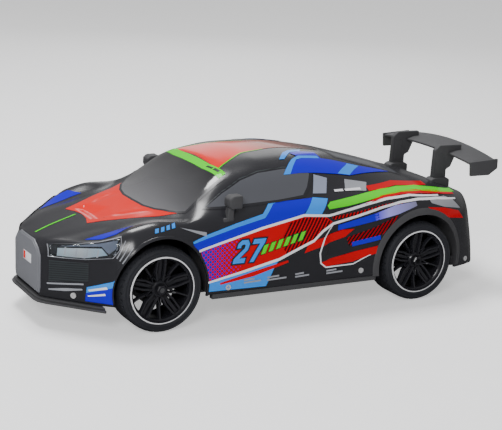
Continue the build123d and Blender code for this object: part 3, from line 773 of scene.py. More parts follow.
@dataclass
class Film:
    """Thin printed films laid on the body.

    Attributes:
        surface: The body surface they follow.
        grid: Distance between the film's inner points in millimetres.
        lift: Height of each layer above the one below, in millimetres.
        start: Height of the lowest layer above the paint, less one lift.
    """

    surface: BodySurface
    grid: float = 1.4
    lift: float = 0.045
    start: float = 0.08

    def put(self, points: np.ndarray, view: View, raised: float) -> tuple[np.ndarray, np.ndarray]:
        """Lay flat points on the body.

        Args:
            points: (x, z) points for a side view, (x, y) for the top.
            view: The direction.
            raised: Height above the paint in millimetres.

        Returns:
            The laid points and the body's normals there.
        """
        x, v = points[:, 0], points[:, 1]
        reach = self.surface.top_z if view is View.TOP else self.surface.side_y
        gap = 0.6
        height = reach(x, v)
        along_x = (reach(x + gap, v) - reach(x - gap, v)) / (2 * gap)
        along_v = (reach(x, v + gap) - reach(x, v - gap)) / (2 * gap)
        if view is View.TOP:
            laid = np.column_stack([x, v, height])
            normal = np.column_stack([-along_x, -along_v, np.ones_like(x)])
        else:
            laid = np.column_stack([x, view.value * height, v])
            normal = np.column_stack([-along_x, view.value * np.ones_like(x), -along_v])
        normal /= np.linalg.norm(normal, axis=1)[:, None]
        return laid + normal * raised, normal

    def lay(self, name: str, outline: Sequence[Point2], view: View, finish: Finish, layer: int = 1,
            raised: float = 0.0) -> bpy.types.Object:
        """Cut a film to an outline and lay it on the body.

        Args:
            name: Object name.
            outline: Corners in millimetres.
            view: The direction it is laid from.
            finish: Its print.
            layer: Which layer it is in, from 1.
            raised: Extra height in millimetres.

        Returns:
            The film.
        """
        edge: list[Point2] = []
        for k, (ax, ay) in enumerate(outline):
            bx, by = outline[(k + 1) % len(outline)]
            parts = max(1, int(math.hypot(bx - ax, by - ay) / self.grid))
            edge += [(ax + (bx - ax) * i / parts, ay + (by - ay) * i / parts) for i in range(parts)]
        xs, ys = [p[0] for p in edge], [p[1] for p in edge]
        inner = [(x, y) for x in np.arange(min(xs), max(xs), self.grid)
                 for y in np.arange(min(ys), max(ys), self.grid)]
        loop = list(range(len(edge)))
        found = delaunay_2d_cdt([Vector(p) for p in edge + inner],
                                [(k, (k + 1) % len(edge)) for k in loop], [loop], 1, 1e-5)
        flat = np.array([tuple(p) for p in found[0]])
        hidden = np.zeros(len(flat), bool)
        if view is not View.TOP:
            for arch in (FRONT_ARCH, REAR_ARCH):
                reach = arch.reach(flat[:, 0], flat[:, 1])
                cut = reach < 1.0
                hidden |= cut
                middle = np.array([arch.x, arch.z])
                flat[cut] = middle + (flat[cut] - middle) / reach[cut, None]
        kept = [face for face in found[2] if not all(hidden[k] for k in face)]
        used = sorted({k for face in kept for k in face})
        flat = flat[used]
        number = {old: new for new, old in enumerate(used)}
        laid, normal = self.put(flat, view, self.start + self.lift * layer + raised)
        faces = []
        for face in ([number[k] for k in face] for face in kept):
            a, b, c = (Vector(laid[k]) for k in face[:3])
            turned = (b - a).cross(c - a).dot(Vector(normal[face[0]])) < 0
            faces.append(face[::-1] if turned else face)
        film = Bench.mesh(name, laid, faces)
        film.data.polygons.foreach_set("use_smooth", [True] * len(film.data.polygons))
        film.data.normals_split_custom_set_from_vertices([tuple(n) for n in normal])
        return Bench.dress(film, finish)

    @staticmethod
    def stroke(path: Sequence[Point2], widths: Sequence[float]) -> list[Point2]:
        """The outline of a line of changing width.

        Args:
            path: Points along its middle.
            widths: Its width at each point.

        Returns:
            A closed outline.
        """
        left, right = [], []
        for k, (x, y) in enumerate(path):
            ax, ay = path[max(k - 1, 0)]
            bx, by = path[min(k + 1, len(path) - 1)]
            size = math.hypot(bx - ax, by - ay)
            nx, ny = -(by - ay) / size * widths[k] / 2, (bx - ax) / size * widths[k] / 2
            left.append((x + nx, y + ny))
            right.append((x - nx, y - ny))
        return left + right[::-1]


@dataclass
class CarShell:
    """The vacuum-moulded body: outer skin, inner wall, arch liners and arch lips.

    Attributes:
        surface: The painted outside.
        radius: Radius of the arch liners.
        wall: Wall thickness.
        inner_y: Where the arch liners end towards the middle.
    """

    surface: BodySurface
    radius: float = 31.3
    wall: float = 1.5
    inner_y: float = 36.5

    def grid(self, stations: np.ndarray, sections: np.ndarray) -> tuple[np.ndarray, np.ndarray]:
        """Full width points and the arch mask.

        Args:
            stations: X of each section.
            sections: Half sections, roof to sill.

        Returns:
            Points by section and place, and whether each is inside a wheel arch.
        """
        full = np.concatenate([sections[:, ::-1] * [-1, 1], sections[:, 1:]], axis=1)
        x = np.repeat(stations[:, None], full.shape[1], axis=1)
        points = np.dstack([x, full])
        inside = np.zeros(x.shape, bool)
        for arch in (FRONT_ARCH, REAR_ARCH):
            inside |= (arch.reach(x, points[..., 2]) < 1.0) & (np.abs(points[..., 1]) > arch.inner_y)
        return points, inside

    def skin(self, name: str, stations: np.ndarray, sections: np.ndarray, inset: float,
             caps: bool) -> bpy.types.Object:
        """One sheet of the shell with its wheel arches cut out.

        Args:
            name: Object name.
            stations: X of each section.
            sections: Half sections.
            inset: How far the sheet lies inside the paint; it then faces inwards.
            caps: Whether the nose and the tail are closed.

        Returns:
            The sheet.
        """
        points, inside = self.grid(stations, sections)
        rows, columns = inside.shape
        along = np.gradient(points, axis=0)
        across = np.gradient(points, axis=1)
        normal = np.cross(across, along)
        normal /= np.linalg.norm(normal, axis=2)[..., None] + 1e-9
        quads = []
        for i in range(rows - 1):
            for j in range(columns - 1):
                corners = ((i, j), (i, j + 1), (i + 1, j + 1), (i + 1, j))
                if not all(inside[c] for c in corners):
                    quads.append(corners)
        moved = set()
        for corners in quads:
            for c in corners:
                if inside[c] and c not in moved:
                    moved.add(c)
                    self.to_arch(points, c)
        points = points + normal * inset * self.outward(points, normal)
        faces = [tuple(i * columns + j for i, j in (q if inset == 0 else q[::-1])) for q in quads]
        if caps:
            faces += [tuple(range(columns))[::-1], tuple((rows - 1) * columns + j for j in range(columns))]
        piece = Bench.mesh(name, points.reshape(-1, 3), faces)
        Bench.only(piece)
        bpy.ops.object.mode_set(mode="EDIT")
        bpy.ops.mesh.select_all(action="SELECT")
        bpy.ops.mesh.delete_loose()
        bpy.ops.object.mode_set(mode="OBJECT")
        bpy.ops.object.shade_smooth_by_angle(angle=math.radians(38))
        return piece

    @staticmethod
    def outward(points: np.ndarray, normal: np.ndarray) -> float:
        """-1 where the normals point outwards, so that an inset goes inwards."""
        middle = points.shape[1] // 2
        return -1.0 if normal[points.shape[0] // 2, middle, 2] > 0 else 1.0

    def to_arch(self, points: np.ndarray, place: tuple[int, int]) -> None:
        """Move one point out to the edge of the nearest arch, staying on the body."""
        x, y, z = points[place]
        arch = FRONT_ARCH if x > 0 else REAR_ARCH
        reach = float(arch.reach(x, z))
        nx, nz = arch.x + (x - arch.x) / reach, arch.z + (z - arch.z) / reach
        half = float(self.surface.side_y(np.array([nx]), np.array([nz]))[0])
        points[place] = nx, math.copysign(half, y), nz

    @staticmethod
    def arc(arch: Arch, half: float, height: float, steps: int) -> list[Point2]:
        """Points of an arch edge from the rear sill, over the wheel, to the front sill."""
        low = math.asin((arch.z - SILL_Z) / height)
        return [(arch.x + half * math.cos(a), arch.z + height * math.sin(a))
                for a in np.linspace(math.pi + low, -low, steps)]

    def liner(self, name: str, arch: Arch, side: int) -> bpy.types.Object:
        """The tunnel over one wheel."""
        rim = self.arc(arch, self.radius, self.radius, 41)
        half = self.surface.side_y(np.array([p[0] for p in rim]), np.array([p[1] for p in rim])) - 0.7
        points = [(x, side * self.inner_y, z) for x, z in rim]
        points += [(x, side * y, z) for (x, z), y in zip(rim, half)]
        n = len(rim)
        faces = [(k, k + 1, n + k + 1, n + k)[::side] for k in range(n - 1)]
        piece = Bench.mesh(name, points, faces)
        Bench.thicken(piece, 0.8)
        bpy.ops.object.shade_smooth_by_angle(angle=math.radians(35))
        return Bench.dress(piece, MATTE)

    def lip(self, name: str, arch: Arch, side: int, wide: float, high: float,
            finish: Finish) -> bpy.types.Object:
        """The rolled edge round one arch.

        Args:
            name: Object name.
            arch: The opening.
            side: 1 left, -1 right.
            wide: Width of the lip on the body.
            high: How far it stands out.
            finish: Its finish.

        Returns:
            The lip.
        """
        profile = [(-0.6, -1.2), (-0.6, high), (wide * 0.5, high * 0.9), (wide, 0.02), (wide, -0.8)]
        points, n = [], len(profile)
        steps = 61
        rings = [self.arc(arch, arch.half + r, arch.height + r, steps) for r, _ in profile]
        for k in range(steps):
            for (_, out), ring in zip(profile, rings):
                x, z = ring[k]
                y = float(self.surface.side_y(np.array([x]), np.array([z]))[0])
                points.append((x, side * (y + out), z))
        faces = [(k * n + j, k * n + (j + 1) % n, (k + 1) * n + (j + 1) % n, (k + 1) * n + j)
                 for k in range(steps - 1) for j in range(n)]
        faces += [tuple(range(n)), tuple((steps - 1) * n + j for j in range(n))[::-1]]
        piece = Bench.mesh(name, points, faces)
        Bench.outwards(piece)
        bpy.ops.object.shade_smooth_by_angle(angle=math.radians(50))
        return Bench.dress(piece, finish)

    def build(self) -> None:
        """Make every piece of the shell."""
        skin = self.skin("body_skin", self.surface.stations, self.surface.sections, 0.0, True)
        Bench.only(skin)
        modifier = skin.modifiers.new("edge", "SOLIDIFY")
        modifier.thickness = self.wall * MM
        modifier.offset = -1.0
        modifier.use_rim_only = True
        bpy.ops.object.modifier_apply(modifier=modifier.name)
        Bench.mount(Bench.dress(skin, BLACK), "chassis", "gloss_black", ["body_shell"])
        inner = self.skin("body_inner_wall", self.surface.stations[2:-2:4], self.surface.sections[2:-2:4, ::3],
                          self.wall, False)
        Bench.mount(Bench.dress(inner, MATTE), "chassis", "matte_black")
        for place, arch, wide, high, finish in (("front", FRONT_ARCH, 1.0, 0.2, BLACK),
                                                ("rear", REAR_ARCH, 3.4, 0.7, MATTE)):
            for word, side in SIDES:
                Bench.mount(self.liner(f"arch_liner_{place}_{word}", arch, side), "chassis", "matte_black")
                Bench.mount(self.lip(f"arch_lip_{place}_{word}", arch, side, wide, high, finish), "chassis",
                            "gloss_black" if finish is BLACK else "matte_black")


@dataclass(frozen=True)
class Print:
    """One printed shape.

    Attributes:
        finish: Its print.
        outline: Its corners in millimetres, or the path of a line.
        widths: Widths along a path; empty for an outline.
        layer: Which layer it is in.
    """

    finish: Finish
    outline: tuple[Point2, ...]
    widths: tuple[float, ...] = ()
    layer: int = 1


SIDE_PRINTS: dict[str, Print] = {
    "door_blue": Print(BLUE, ((70, 50.4), (60.5, 53.6), (42, 58.2), (24, 62.0), (17, 69.0), (14, 69.6),
                              (-12, 70.2), (-2.5, 62.4), (-2.5, 61.2), (25.5, 56.0), (66, 46.0))),
    "door_sky_edge": Print(SKY, ((70, 51.4), (60.5, 54.4), (42, 59.2), (24, 63.0), (17, 69.9), (10, 70.8)),
                           (1.4, 2.2, 2.4, 2.6, 2.4, 1.2), 2),
    "door_sky_block": Print(SKY, ((-11, 70.4), (-21, 69.2), (-14.5, 61.2), (-3, 62.0)), (), 2),
    "door_red": Print(RED, ((65, 46.0), (25.5, 55.8), (-2.5, 61.0), (-16, 60.2), (-22, 56.2), (-16, 50.6),
                            (-10, 45.3), (13, 36.2), (60, 26.9), (62.5, 36))),
    "door_dots": Print(DOTS, ((64.6, 45.9), (36, 53.0), (38, 32.0), (60, 27.0), (62.4, 36)), (), 2),
    "door_hatch": Print(LINES, ((13, 47.6), (8, 57.6), (-2.5, 60.2), (-16, 59.6), (-21.5, 56.0),
                                (-16, 50.6), (-10, 45.3), (8, 38.3)), (), 2),
    "line_upper": Print(WHITE_PRINT_AND_HIGHLIGHT, ((66, 46.2), (25.5, 56.2), (-2.5, 61.4), (-19.5, 60.0), (-31, 62.0),
                                (-47, 64.6), (-62, 66.4), (-80, 66.8), (-104, 64.4)),
                                (1.4, 1.6, 1.5, 1.4, 1.5, 1.5, 1.3, 1.0, 0.6), 3),
    "line_lower": Print(WHITE_PRINT_AND_HIGHLIGHT, ((60, 26.9), (36, 31.4), (13, 36.2), (-10, 45.3), (-16, 51.0), (-22.5, 55.0),
                                (-38.5, 58.1), (-57, 61.9), (-71, 63.9), (-85, 64.5), (-100.5, 63.4),
                                (-120, 60.4)), (1.2, 1.5, 1.6, 1.7, 1.7, 1.6, 1.5, 1.4, 1.3, 1.3, 1.3, 0.8),
                                3),
    "sill_sky": Print(SKY, ((60.5, 26.6), (13, 36.0), (16, 32.2), (18.5, 27), (21.5, 20.8), (60.5, 21.4))),
    "sill_red": Print(RED, ((52, 25.4), (30, 29.2), (7, 34.4)), (1.2, 2.8, 1.4), 2),
    "swoosh_green": Print(GREEN, ((-19.6, 64.6), (-22, 65.6), (-33, 66.5), (-49.5, 68.2), (-62, 69.4),
                                  (-76, 69.6), (-92, 68.5), (-108, 66.0), (-126, 62.8)),
                                  (2.2, 3.7, 4.0, 3.4, 2.5, 2.0, 1.7, 1.6, 1.2), 3),
    "stripe_red_top": Print(RED, ((-53, 71.5), (-76, 71.9), (-104, 68.6)), (2.2, 1.9, 1.2), 2),
    "dashes_red": Print(LINES, ((-22, 58.2), (-40, 60.0), (-60, 62.8), (-84, 64.6)), (1.8, 1.8, 1.8, 0.8),
                                2),
    "bar_blue": Print(BLUE, ((-26.5, 52.0), (-40, 54.4), (-55, 57.0)), (3.6, 4.2, 4.4), 2),
    "bar_lavender": Print(LAVENDER, ((-52, 56.4), (-68, 59.8), (-83, 62.2)), (4.4, 5.6, 2.4), 2),
    "rear_hatch": Print(DARK_LINES, ((-34, 44.5), (-50, 49.5), (-70, 57.0), (-62, 49.0), (-58, 45.5),
                                     (-36, 39.4))),
    "bar_red_mid": Print(RED, ((-4, 38.2), (-33, 45.4), (-38.5, 50.2), (-30, 50.4), (-12, 45.6),
                               (-6, 42.4)), (), 2),
    "bar_blue_low": Print(BLUE, ((-38, 40.2), (-56.5, 43.8)), (2.8, 2.8), 2),
    "bar_red_low": Print(RED, ((-16, 31.6), (-34, 34.6), (-55, 38.6), (-54, 33.6), (-38, 30.0),
                               (-17, 28.6)), (), 2),
    # Painted highlight: a thin white line along the edge of the side intake's recess.
    "intake_edge_painted_highlight": Print(WHITE_PRINT_AND_HIGHLIGHT, ((-22.5, 54.6), (-17.5, 46), (-14.8, 37.1), (-15.4, 31), (-19, 28.2),
                                 (-38, 28.6), (-50.5, 33.2)), (0.5, 0.9, 1.0, 0.9, 0.8, 0.7, 0.4), 3),
    "haunch_red": Print(RED, ((-91.0, 59.6), (-105.5, 57.6), (-120.0, 53.6), (-125.0, 48.0), (-109.5, 51.0),
                              (-99.5, 54.7)), (), 2),
    # Painted highlight: a grey band on the rear fender's shoulder, above the red wedge.
    "haunch_painted_highlight": Print(GREY_PRINT_AND_HIGHLIGHT, ((-93.5, 64.4), (-109.0, 63.4), (-116.0, 60.6), (-122.5, 54.6),
                                (-105.0, 58.2), (-95.0, 61.4)), (), 2),
    "line_red": Print(RED, ((-46, 64.9), (-59, 67.3), (-74.0, 68.3), (-89.0, 67.6), (-104.5, 65.6),
                            (-122, 62.4)), (0.8, 1.5, 1.5, 1.4, 1.2, 0.8), 3),
    "fender_flash": Print(GREY_PRINT_AND_HIGHLIGHT, ((77, 60.2), (61.5, 56.8), (61.5, 54.4)), (), 2),
    "window_frame": Print(BLACK, ((60.5, 67.8), (47, 76.4), (33, 82.8), (20, 86.0), (2, 87.0), (-10, 86.0),
                                  (-18, 83.0), (-12, 75.5), (-6, 70.8), (12, 69.4), (40, 68.2)), (), 3),
    "window": Print(SIDE_GLAZING, ((57.5, 68.9), (46, 75.4), (32.5, 81.2), (20, 84.4), (2, 85.4),
                                   (-9, 84.4), (-14.6, 82.2), (-9.6, 75.6), (-5.2, 71.9), (12, 70.6),
                                   (40, 69.5)), (), 4),
    "window_line": Print(SLATE, ((59.4, 68.2), (46.6, 75.9), (32.8, 82.0), (20, 85.2), (2, 86.2),
                                 (-9.6, 85.2), (-16.4, 82.6)), (0.3, 0.5, 0.5, 0.5, 0.5, 0.5, 0.3), 4),
    "window_block": Print(BLUE_GREY, ((-17.5, 81.4), (-26.5, 78.8), (-21.5, 71.6), (-12.2, 72.2)), (), 4),
    "pillar_vent": Print(GREY_PRINT_AND_HIGHLIGHT, ((-39.5, 77.0), (-55.5, 74.0), (-51.0, 70.6), (-36, 71.8)), (), 4),
    "pillar_bars": Print(WHITE_PRINT_AND_HIGHLIGHT, ((-28, 72.4), (-34.5, 72.2)), (1.0, 1.0), 5),
    "pillar_bars_b": Print(WHITE_PRINT_AND_HIGHLIGHT, ((-36, 72.1), (-48, 71.8)), (1.0, 1.0), 5),
    "corner_dark": Print(BLACK, ((127, 41.6), (115, 42.5), (115.5, 18.6), (127.5, 18.6))),
    "corner_sky": Print(SKY, ((127.2, 26.6), (114.6, 32.6), (114.8, 28.6), (127.4, 23.2)), (), 2),
    "corner_blue": Print(BLUE, ((127.4, 23.2), (114.8, 28.6), (115.4, 18.2), (127.6, 18.2)), (), 2),
    "corner_slot_a": Print(WHITE_PRINT_AND_HIGHLIGHT, ((126.4, 24.8), (118.6, 27.6)), (1.0, 1.5), 3),
    "corner_slot_b": Print(WHITE_PRINT_AND_HIGHLIGHT, ((126.6, 21.4), (119.2, 23.6)), (0.8, 1.2), 3),
    "mesh_frame": Print(BLACK, ((144.4, 40.6), (125.4, 41.6), (125.4, 27.4), (144.4, 23.4))),
    "mesh_panel": Print(SLATE, ((143.2, 39.4), (126.6, 40.6), (126.6, 30.2), (143.2, 26.6)), (), 2),
    "intake_bar": Print(GREY_PRINT_AND_HIGHLIGHT, ((143.8, 25.2), (128.6, 28.0)), (0.9, 0.9), 3),
    "intake_oval": Print(GREY_PRINT_AND_HIGHLIGHT, ((143.0, 21.8), (136, 23.2), (129.0, 24.8)), (0.8, 1.8, 0.8), 3),
}

TOP_PRINTS: dict[str, Print] = {
    "hood_red": Print(CORAL, ((117.4, 17.6), (109, 21.2), (96, 28.2), (84, 34.6), (73, 39.8), (66, 43),
                              (66, -43), (73, -39.8), (84, -34.6), (96, -28.2), (109, -21.2),
                              (117.4, -17.6), (114.6, -9), (113.6, 0), (114.6, 9))),
    "hood_green": Print(GREEN, ((143.5, 3.4), (130, 0.6), (116.6, -3.0)), (1.3, 1.4, 1.3), 2),
    # The windscreen's grey carries a painted reflection that darkens towards the roof.
    "windscreen": Print(GLAZING_WITH_PAINTED_REFLECTION, ((81.2, 0), (80.6, 14), (78.2, 25), (73.4, 35.4), (67.5, 43.2), (56, 41.4),
                                  (44.4, 38.8), (46.2, 20), (46.8, 0), (46.2, -20), (44.4, -38.8),
                                  (56, -41.4), (67.5, -43.2), (73.4, -35.4), (78.2, -25), (80.6, -14)), (),
                                  3),
    "windscreen_edge": Print(BLACK, ((82.6, 0), (82, 14.4), (79.4, 26), (74.4, 36.6), (68, 45.0),
                                     (55, 43.2), (40, 40.4), (40, -40.4), (55, -43.2), (68, -45.0),
                                     (74.4, -36.6), (79.4, -26), (82, -14.4)), (), 2),
    "sun_strip": Print(GREEN, ((46.8, 0), (46.2, 20), (44.2, 38.4), (38.8, 36.6), (41.0, 19), (41.5, 0),
                               (41.0, -19), (38.8, -36.6), (44.2, -38.4), (46.2, -20)), (), 4),
    "roof_fade": Print(ROOF_FADE, ((40.6, 29), (19, 16.5), (0, 12.5), (-40, 9), (-40, -9), (0, -12.5),
                                   (19, -16.5), (40.6, -29)), (), 2),
    "strip_mark_a": Print(BLACK, ((43.2, 20.5), (42.3, 26.5)), (1.5, 1.5), 5),
    "strip_mark_b": Print(BLACK, ((42.1, 27.6), (41.2, 33.0)), (1.9, 1.9), 5),
    "rear_screen_edge": Print(BLACK, ((-45, 21), (-92, 27.2), (-93.5, 14), (-94, 0), (-93.5, -14),
                                      (-92, -27.2), (-45, -21), (-44, 0)), (), 1),
    "rear_screen": Print(SIDE_GLAZING, ((-47, 19), (-90, 25.0), (-91.5, 13), (-92, 0), (-91.5, -13),
                                        (-90, -25.0), (-47, -19), (-46, 0)), (), 2),
    "roof_line": Print(GREEN, ((40.2, 29.6), (19, 17.0), (2, 13.2)), (0.8, 0.8, 0.4), 3),
    "roof_line_r": Print(GREEN, ((40.2, -29.6), (19, -17.0), (2, -13.2)), (0.8, 0.8, 0.4), 3),
}
ROOF_SIDE_PRINTS: dict[str, Print] = {
    "roof_sky_a": Print(SKY, ((0.5, 31.6), (-3.0, 31.6), (-12.0, 22.2), (-21.0, 18.7), (-23.5, 14.8),
                              (-13.0, 18.2), (-6.5, 23.0)), (), 5),
    "roof_fill": Print(BLUE, ((-11.0, 23.4), (-21.0, 18.8), (-32.0, 17.2), (-31.0, 27.6), (-14.0, 28.4)),
                              (), 6),
    "roof_sky_b": Print(SKY, ((3.4, 42.8), (-1.4, 42.6), (-10.6, 32.6), (-15.5, 30.4), (-30.0, 27.6),
                              (-30.0, 24.2), (-14.5, 27.6), (-7.5, 32.4)), (), 7),
    "roof_blue": Print(BLUE, ((-1.0, 42.6), (-15.5, 41.6), (-29.0, 40.4), (-45.5, 39.0), (-60, 34.2),
                              (-76, 28.6), (-83, 26.0), (-71.0, 26.0), (-59.0, 27.2), (-29.5, 27.4),
                              (-15.0, 30.6), (-9.8, 33.4)), (), 6),
    "roof_sky_c": Print(SKY, ((-36.5, 39.4), (-47.0, 30.9), (-50.0, 27.6), (-59.0, 27.4), (-45.5, 38.8)),
                              (), 7),
    "lamp_blue": Print(BLUE, ((126.4, 37.0), (114, 38.6), (98, 41.2), (104.5, 47.4), (112, 47.8),
                              (119, 44.6)), (), 2),
}


@dataclass
class Livery:
    """The printed films of the body.

    Attributes:
        film: What cuts and lays them.
    """

    film: Film

    def shape(self, item: Print, turn: int = 1) -> list[Point2]:
        """The outline of a print, with its second axis turned over for the right half of the roof."""
        path = [(x, v * turn) for x, v in item.outline]
        return Film.stroke(path, item.widths) if item.widths else path

    def number(self, side: View) -> list[bpy.types.Object]:
        """A slanting start number with a dark outline."""
        two = ((0, 0), (9, 0), (9, 2.9), (4.4, 2.9), (9, 7.6), (9, 11.4), (6.8, 14), (2.0, 14), (0, 12),
               (0, 9.2), (3.0, 9.2), (3.0, 10.8), (3.6, 11.2), (5.4, 11.2), (6.0, 10.6), (6.0, 8.8),
               (0, 2.9))
        seven = ((0, 14), (9.4, 14), (9.4, 11.2), (5.0, 0), (1.8, 0), (5.8, 11.0), (0, 11.0))
        start = 44.4 if side is View.LEFT else 22.4
        films = []
        for index, glyph in enumerate((two, seven)):
            corners = [(0.86 * (u + 11.2 * index) + 0.30 * v, 36.4 + v * 0.98) for u, v in glyph]
            placed = [(start - side.value * u, v) for u, v in corners]
            films.append(self.film.lay("digit_edge", self.swell(placed, 0.9), side, BLACK, 4))
            films.append(self.film.lay("digit", placed, side, SKY, 5))
        return films

    @staticmethod
    def swell(outline: Sequence[Point2], by: float) -> list[Point2]:
        """Move every corner of an outline outwards along the middle of its two edges."""
        area = sum(a[0] * b[1] - b[0] * a[1] for a, b in zip(outline, list(outline[1:]) + [outline[0]]))
        way = 1 if area > 0 else -1
        result = []
        for k, (x, y) in enumerate(outline):
            before, after = Vector(outline[k - 1]), Vector(outline[(k + 1) % len(outline)])
            one, two = (Vector((x, y)) - before).normalized(), (after - Vector((x, y))).normalized()
            first, second = Vector((one.y, -one.x)), Vector((two.y, -two.x))
            middle = (first + second)
            middle = middle / max(0.6, middle.length_squared / 2) if middle.length > 1e-6 else first
            result.append((x + way * middle.x * by, y + way * middle.y * by))
        return result

    def ticks(self, side: View) -> list[bpy.types.Object]:
        """Rows of plain slanting bars where a racing car carries its small prints."""
        films = []
        for k in range(6):
            x, z = 25.6 - 4.9 * k, 40.2 + 1.16 * k
            bar = [(x, z), (x - 3.0, z + 0.7), (x - 5.0, z + 6.2), (x - 2.0, z + 5.5)]
            films.append(self.film.lay("tick_edge", self.swell(bar, 0.5), side, BLACK, 4))
            films.append(self.film.lay("tick", bar, side, GREEN, 5))
        for x, long in ((36.5, 13.0), (21.0, 15.0), (2.0, 11.0), (-19.5, 13.0)):
            for part, (low, width) in enumerate(((24.4, 0.62), (26.0, 0.38))):
                path = [(x, low), (x - long * width * 1.4, low + 0.4)]
                films.append(self.film.lay(f"skirt_bar_{part}", Film.stroke(path, (1.0, 1.0)), side, GREY_PRINT_AND_HIGHLIGHT, 4))
        for k in range(4):
            x, z = 93.0 - 3.6 * k, 58.4 + 0.55 * k
            films.append(self.film.lay("fender_bar", [(x, z), (x - 2.2, z + 0.3), (x - 3.0, z + 2.4),
                                                      (x - 0.8, z + 2.1)], side, SKY, 3))
        return films

    def build(self) -> None:
        """Lay every film and join them by side."""
        for word, side in (("left", View.LEFT), ("right", View.RIGHT)):
            films = [self.film.lay(name, self.shape(item), side, item.finish, item.layer)
                     for name, item in SIDE_PRINTS.items()]
            films += self.number(side) + self.ticks(side)
            Bench.mount(Bench.join(f"livery_{word}", films), "chassis", "gloss_black")
        films = [self.film.lay(name, self.shape(item), View.TOP, item.finish, item.layer)
                 for name, item in TOP_PRINTS.items()]
        films += [self.film.lay(f"{name}_{turn}", self.shape(item, turn), View.TOP, item.finish, item.layer)
                  for name, item in ROOF_SIDE_PRINTS.items() for turn in (1, -1)]
        Bench.mount(Bench.join("livery_top", films), "chassis", "gloss_black")


@dataclass
class Headlights:
    """Both headlights: dark bezel, lamp reflector and a raised clear cover.

    Attributes:
        film: What cuts and lays the sheets.
        bezel: Outer outline in the side view.
        lamp: Outline of the bright lamp.
        brow: Outline of the clear strip above and outside the lamp.
    """

    film: Film
    bezel: tuple[Point2, ...] = ((143.6, 41.0), (143.4, 47.8), (132, 50.0), (121, 52.8), (110.3, 56.8),
                                 (112.3, 50.2), (116, 45.0), (128, 42.4))
    lamp: tuple[Point2, ...] = ((139.8, 42.6), (139.2, 46.6), (130, 48.4), (120.5, 49.6), (118.2, 46.4),
                                (128.5, 43.4))
    brow: tuple[Point2, ...] = ((138.8, 47.4), (130, 49.2), (120.4, 50.6), (117.6, 47.0), (114.2, 50.4),
                                (112.6, 54.6), (121, 51.8), (132, 49.3))

    def build(self) -> None:
        """Make the left and the right headlight."""
        for word, side in (("left", View.LEFT), ("right", View.RIGHT)):
            rim = [(0.965 * (x - 127) + 127, 0.90 * (z - 47.2) + 47.2) for x, z in self.bezel]
            # The grey ring round the black bezel is a painted highlight along the headlight's outline.
            sheets = [self.film.lay("bezel_painted_highlight", self.bezel, side, GREY_PRINT_AND_HIGHLIGHT, 3),
                      self.film.lay("bezel", rim, side, BLACK, 4),
                      self.film.lay("lamp", self.lamp, side, LAMP, 5),
                      self.film.lay("brow", self.brow, side, BLUE_GREY, 5)]
            for k in range(4):
                x = 137.0 - 4.6 * k
                z = 43.4 + 0.35 * k
                facet = [(x, z), (x - 0.7, z + 0.1), (x - 1.5, z + 4.4), (x - 0.9, z + 4.2)]
                sheets.append(self.film.lay("facet", facet, side, WHITE_PRINT_AND_HIGHLIGHT, 6))
            piece = Bench.join(f"headlight_{word}", sheets)
            Bench.mount(piece, "chassis", "lens_clear", [f"headlight_bucket_{word}"])
            cover = self.film.lay(f"headlight_cover_{word}", rim, side, CLEAR, 1, 0.75)
            Bench.thicken(cover, 0.4)
            Bench.mount(cover, "chassis", "lens_clear", [f"headlight_lens_{word}"])
            slats = []
            for k in range(4):
                top, low = (110.6 - 1.5 * k, 56.4 - 1.6 * k), (115.6 - 1.2 * k, 46.6 - 1.3 * k)
                slats.append(self.film.lay("slat", Film.stroke([top, low], (0.3, 0.6)), side, GREY_PRINT_AND_HIGHLIGHT, 3, 0.15))
            Bench.mount(Bench.join(f"corner_slats_{word}", slats), "chassis", "matte_black")


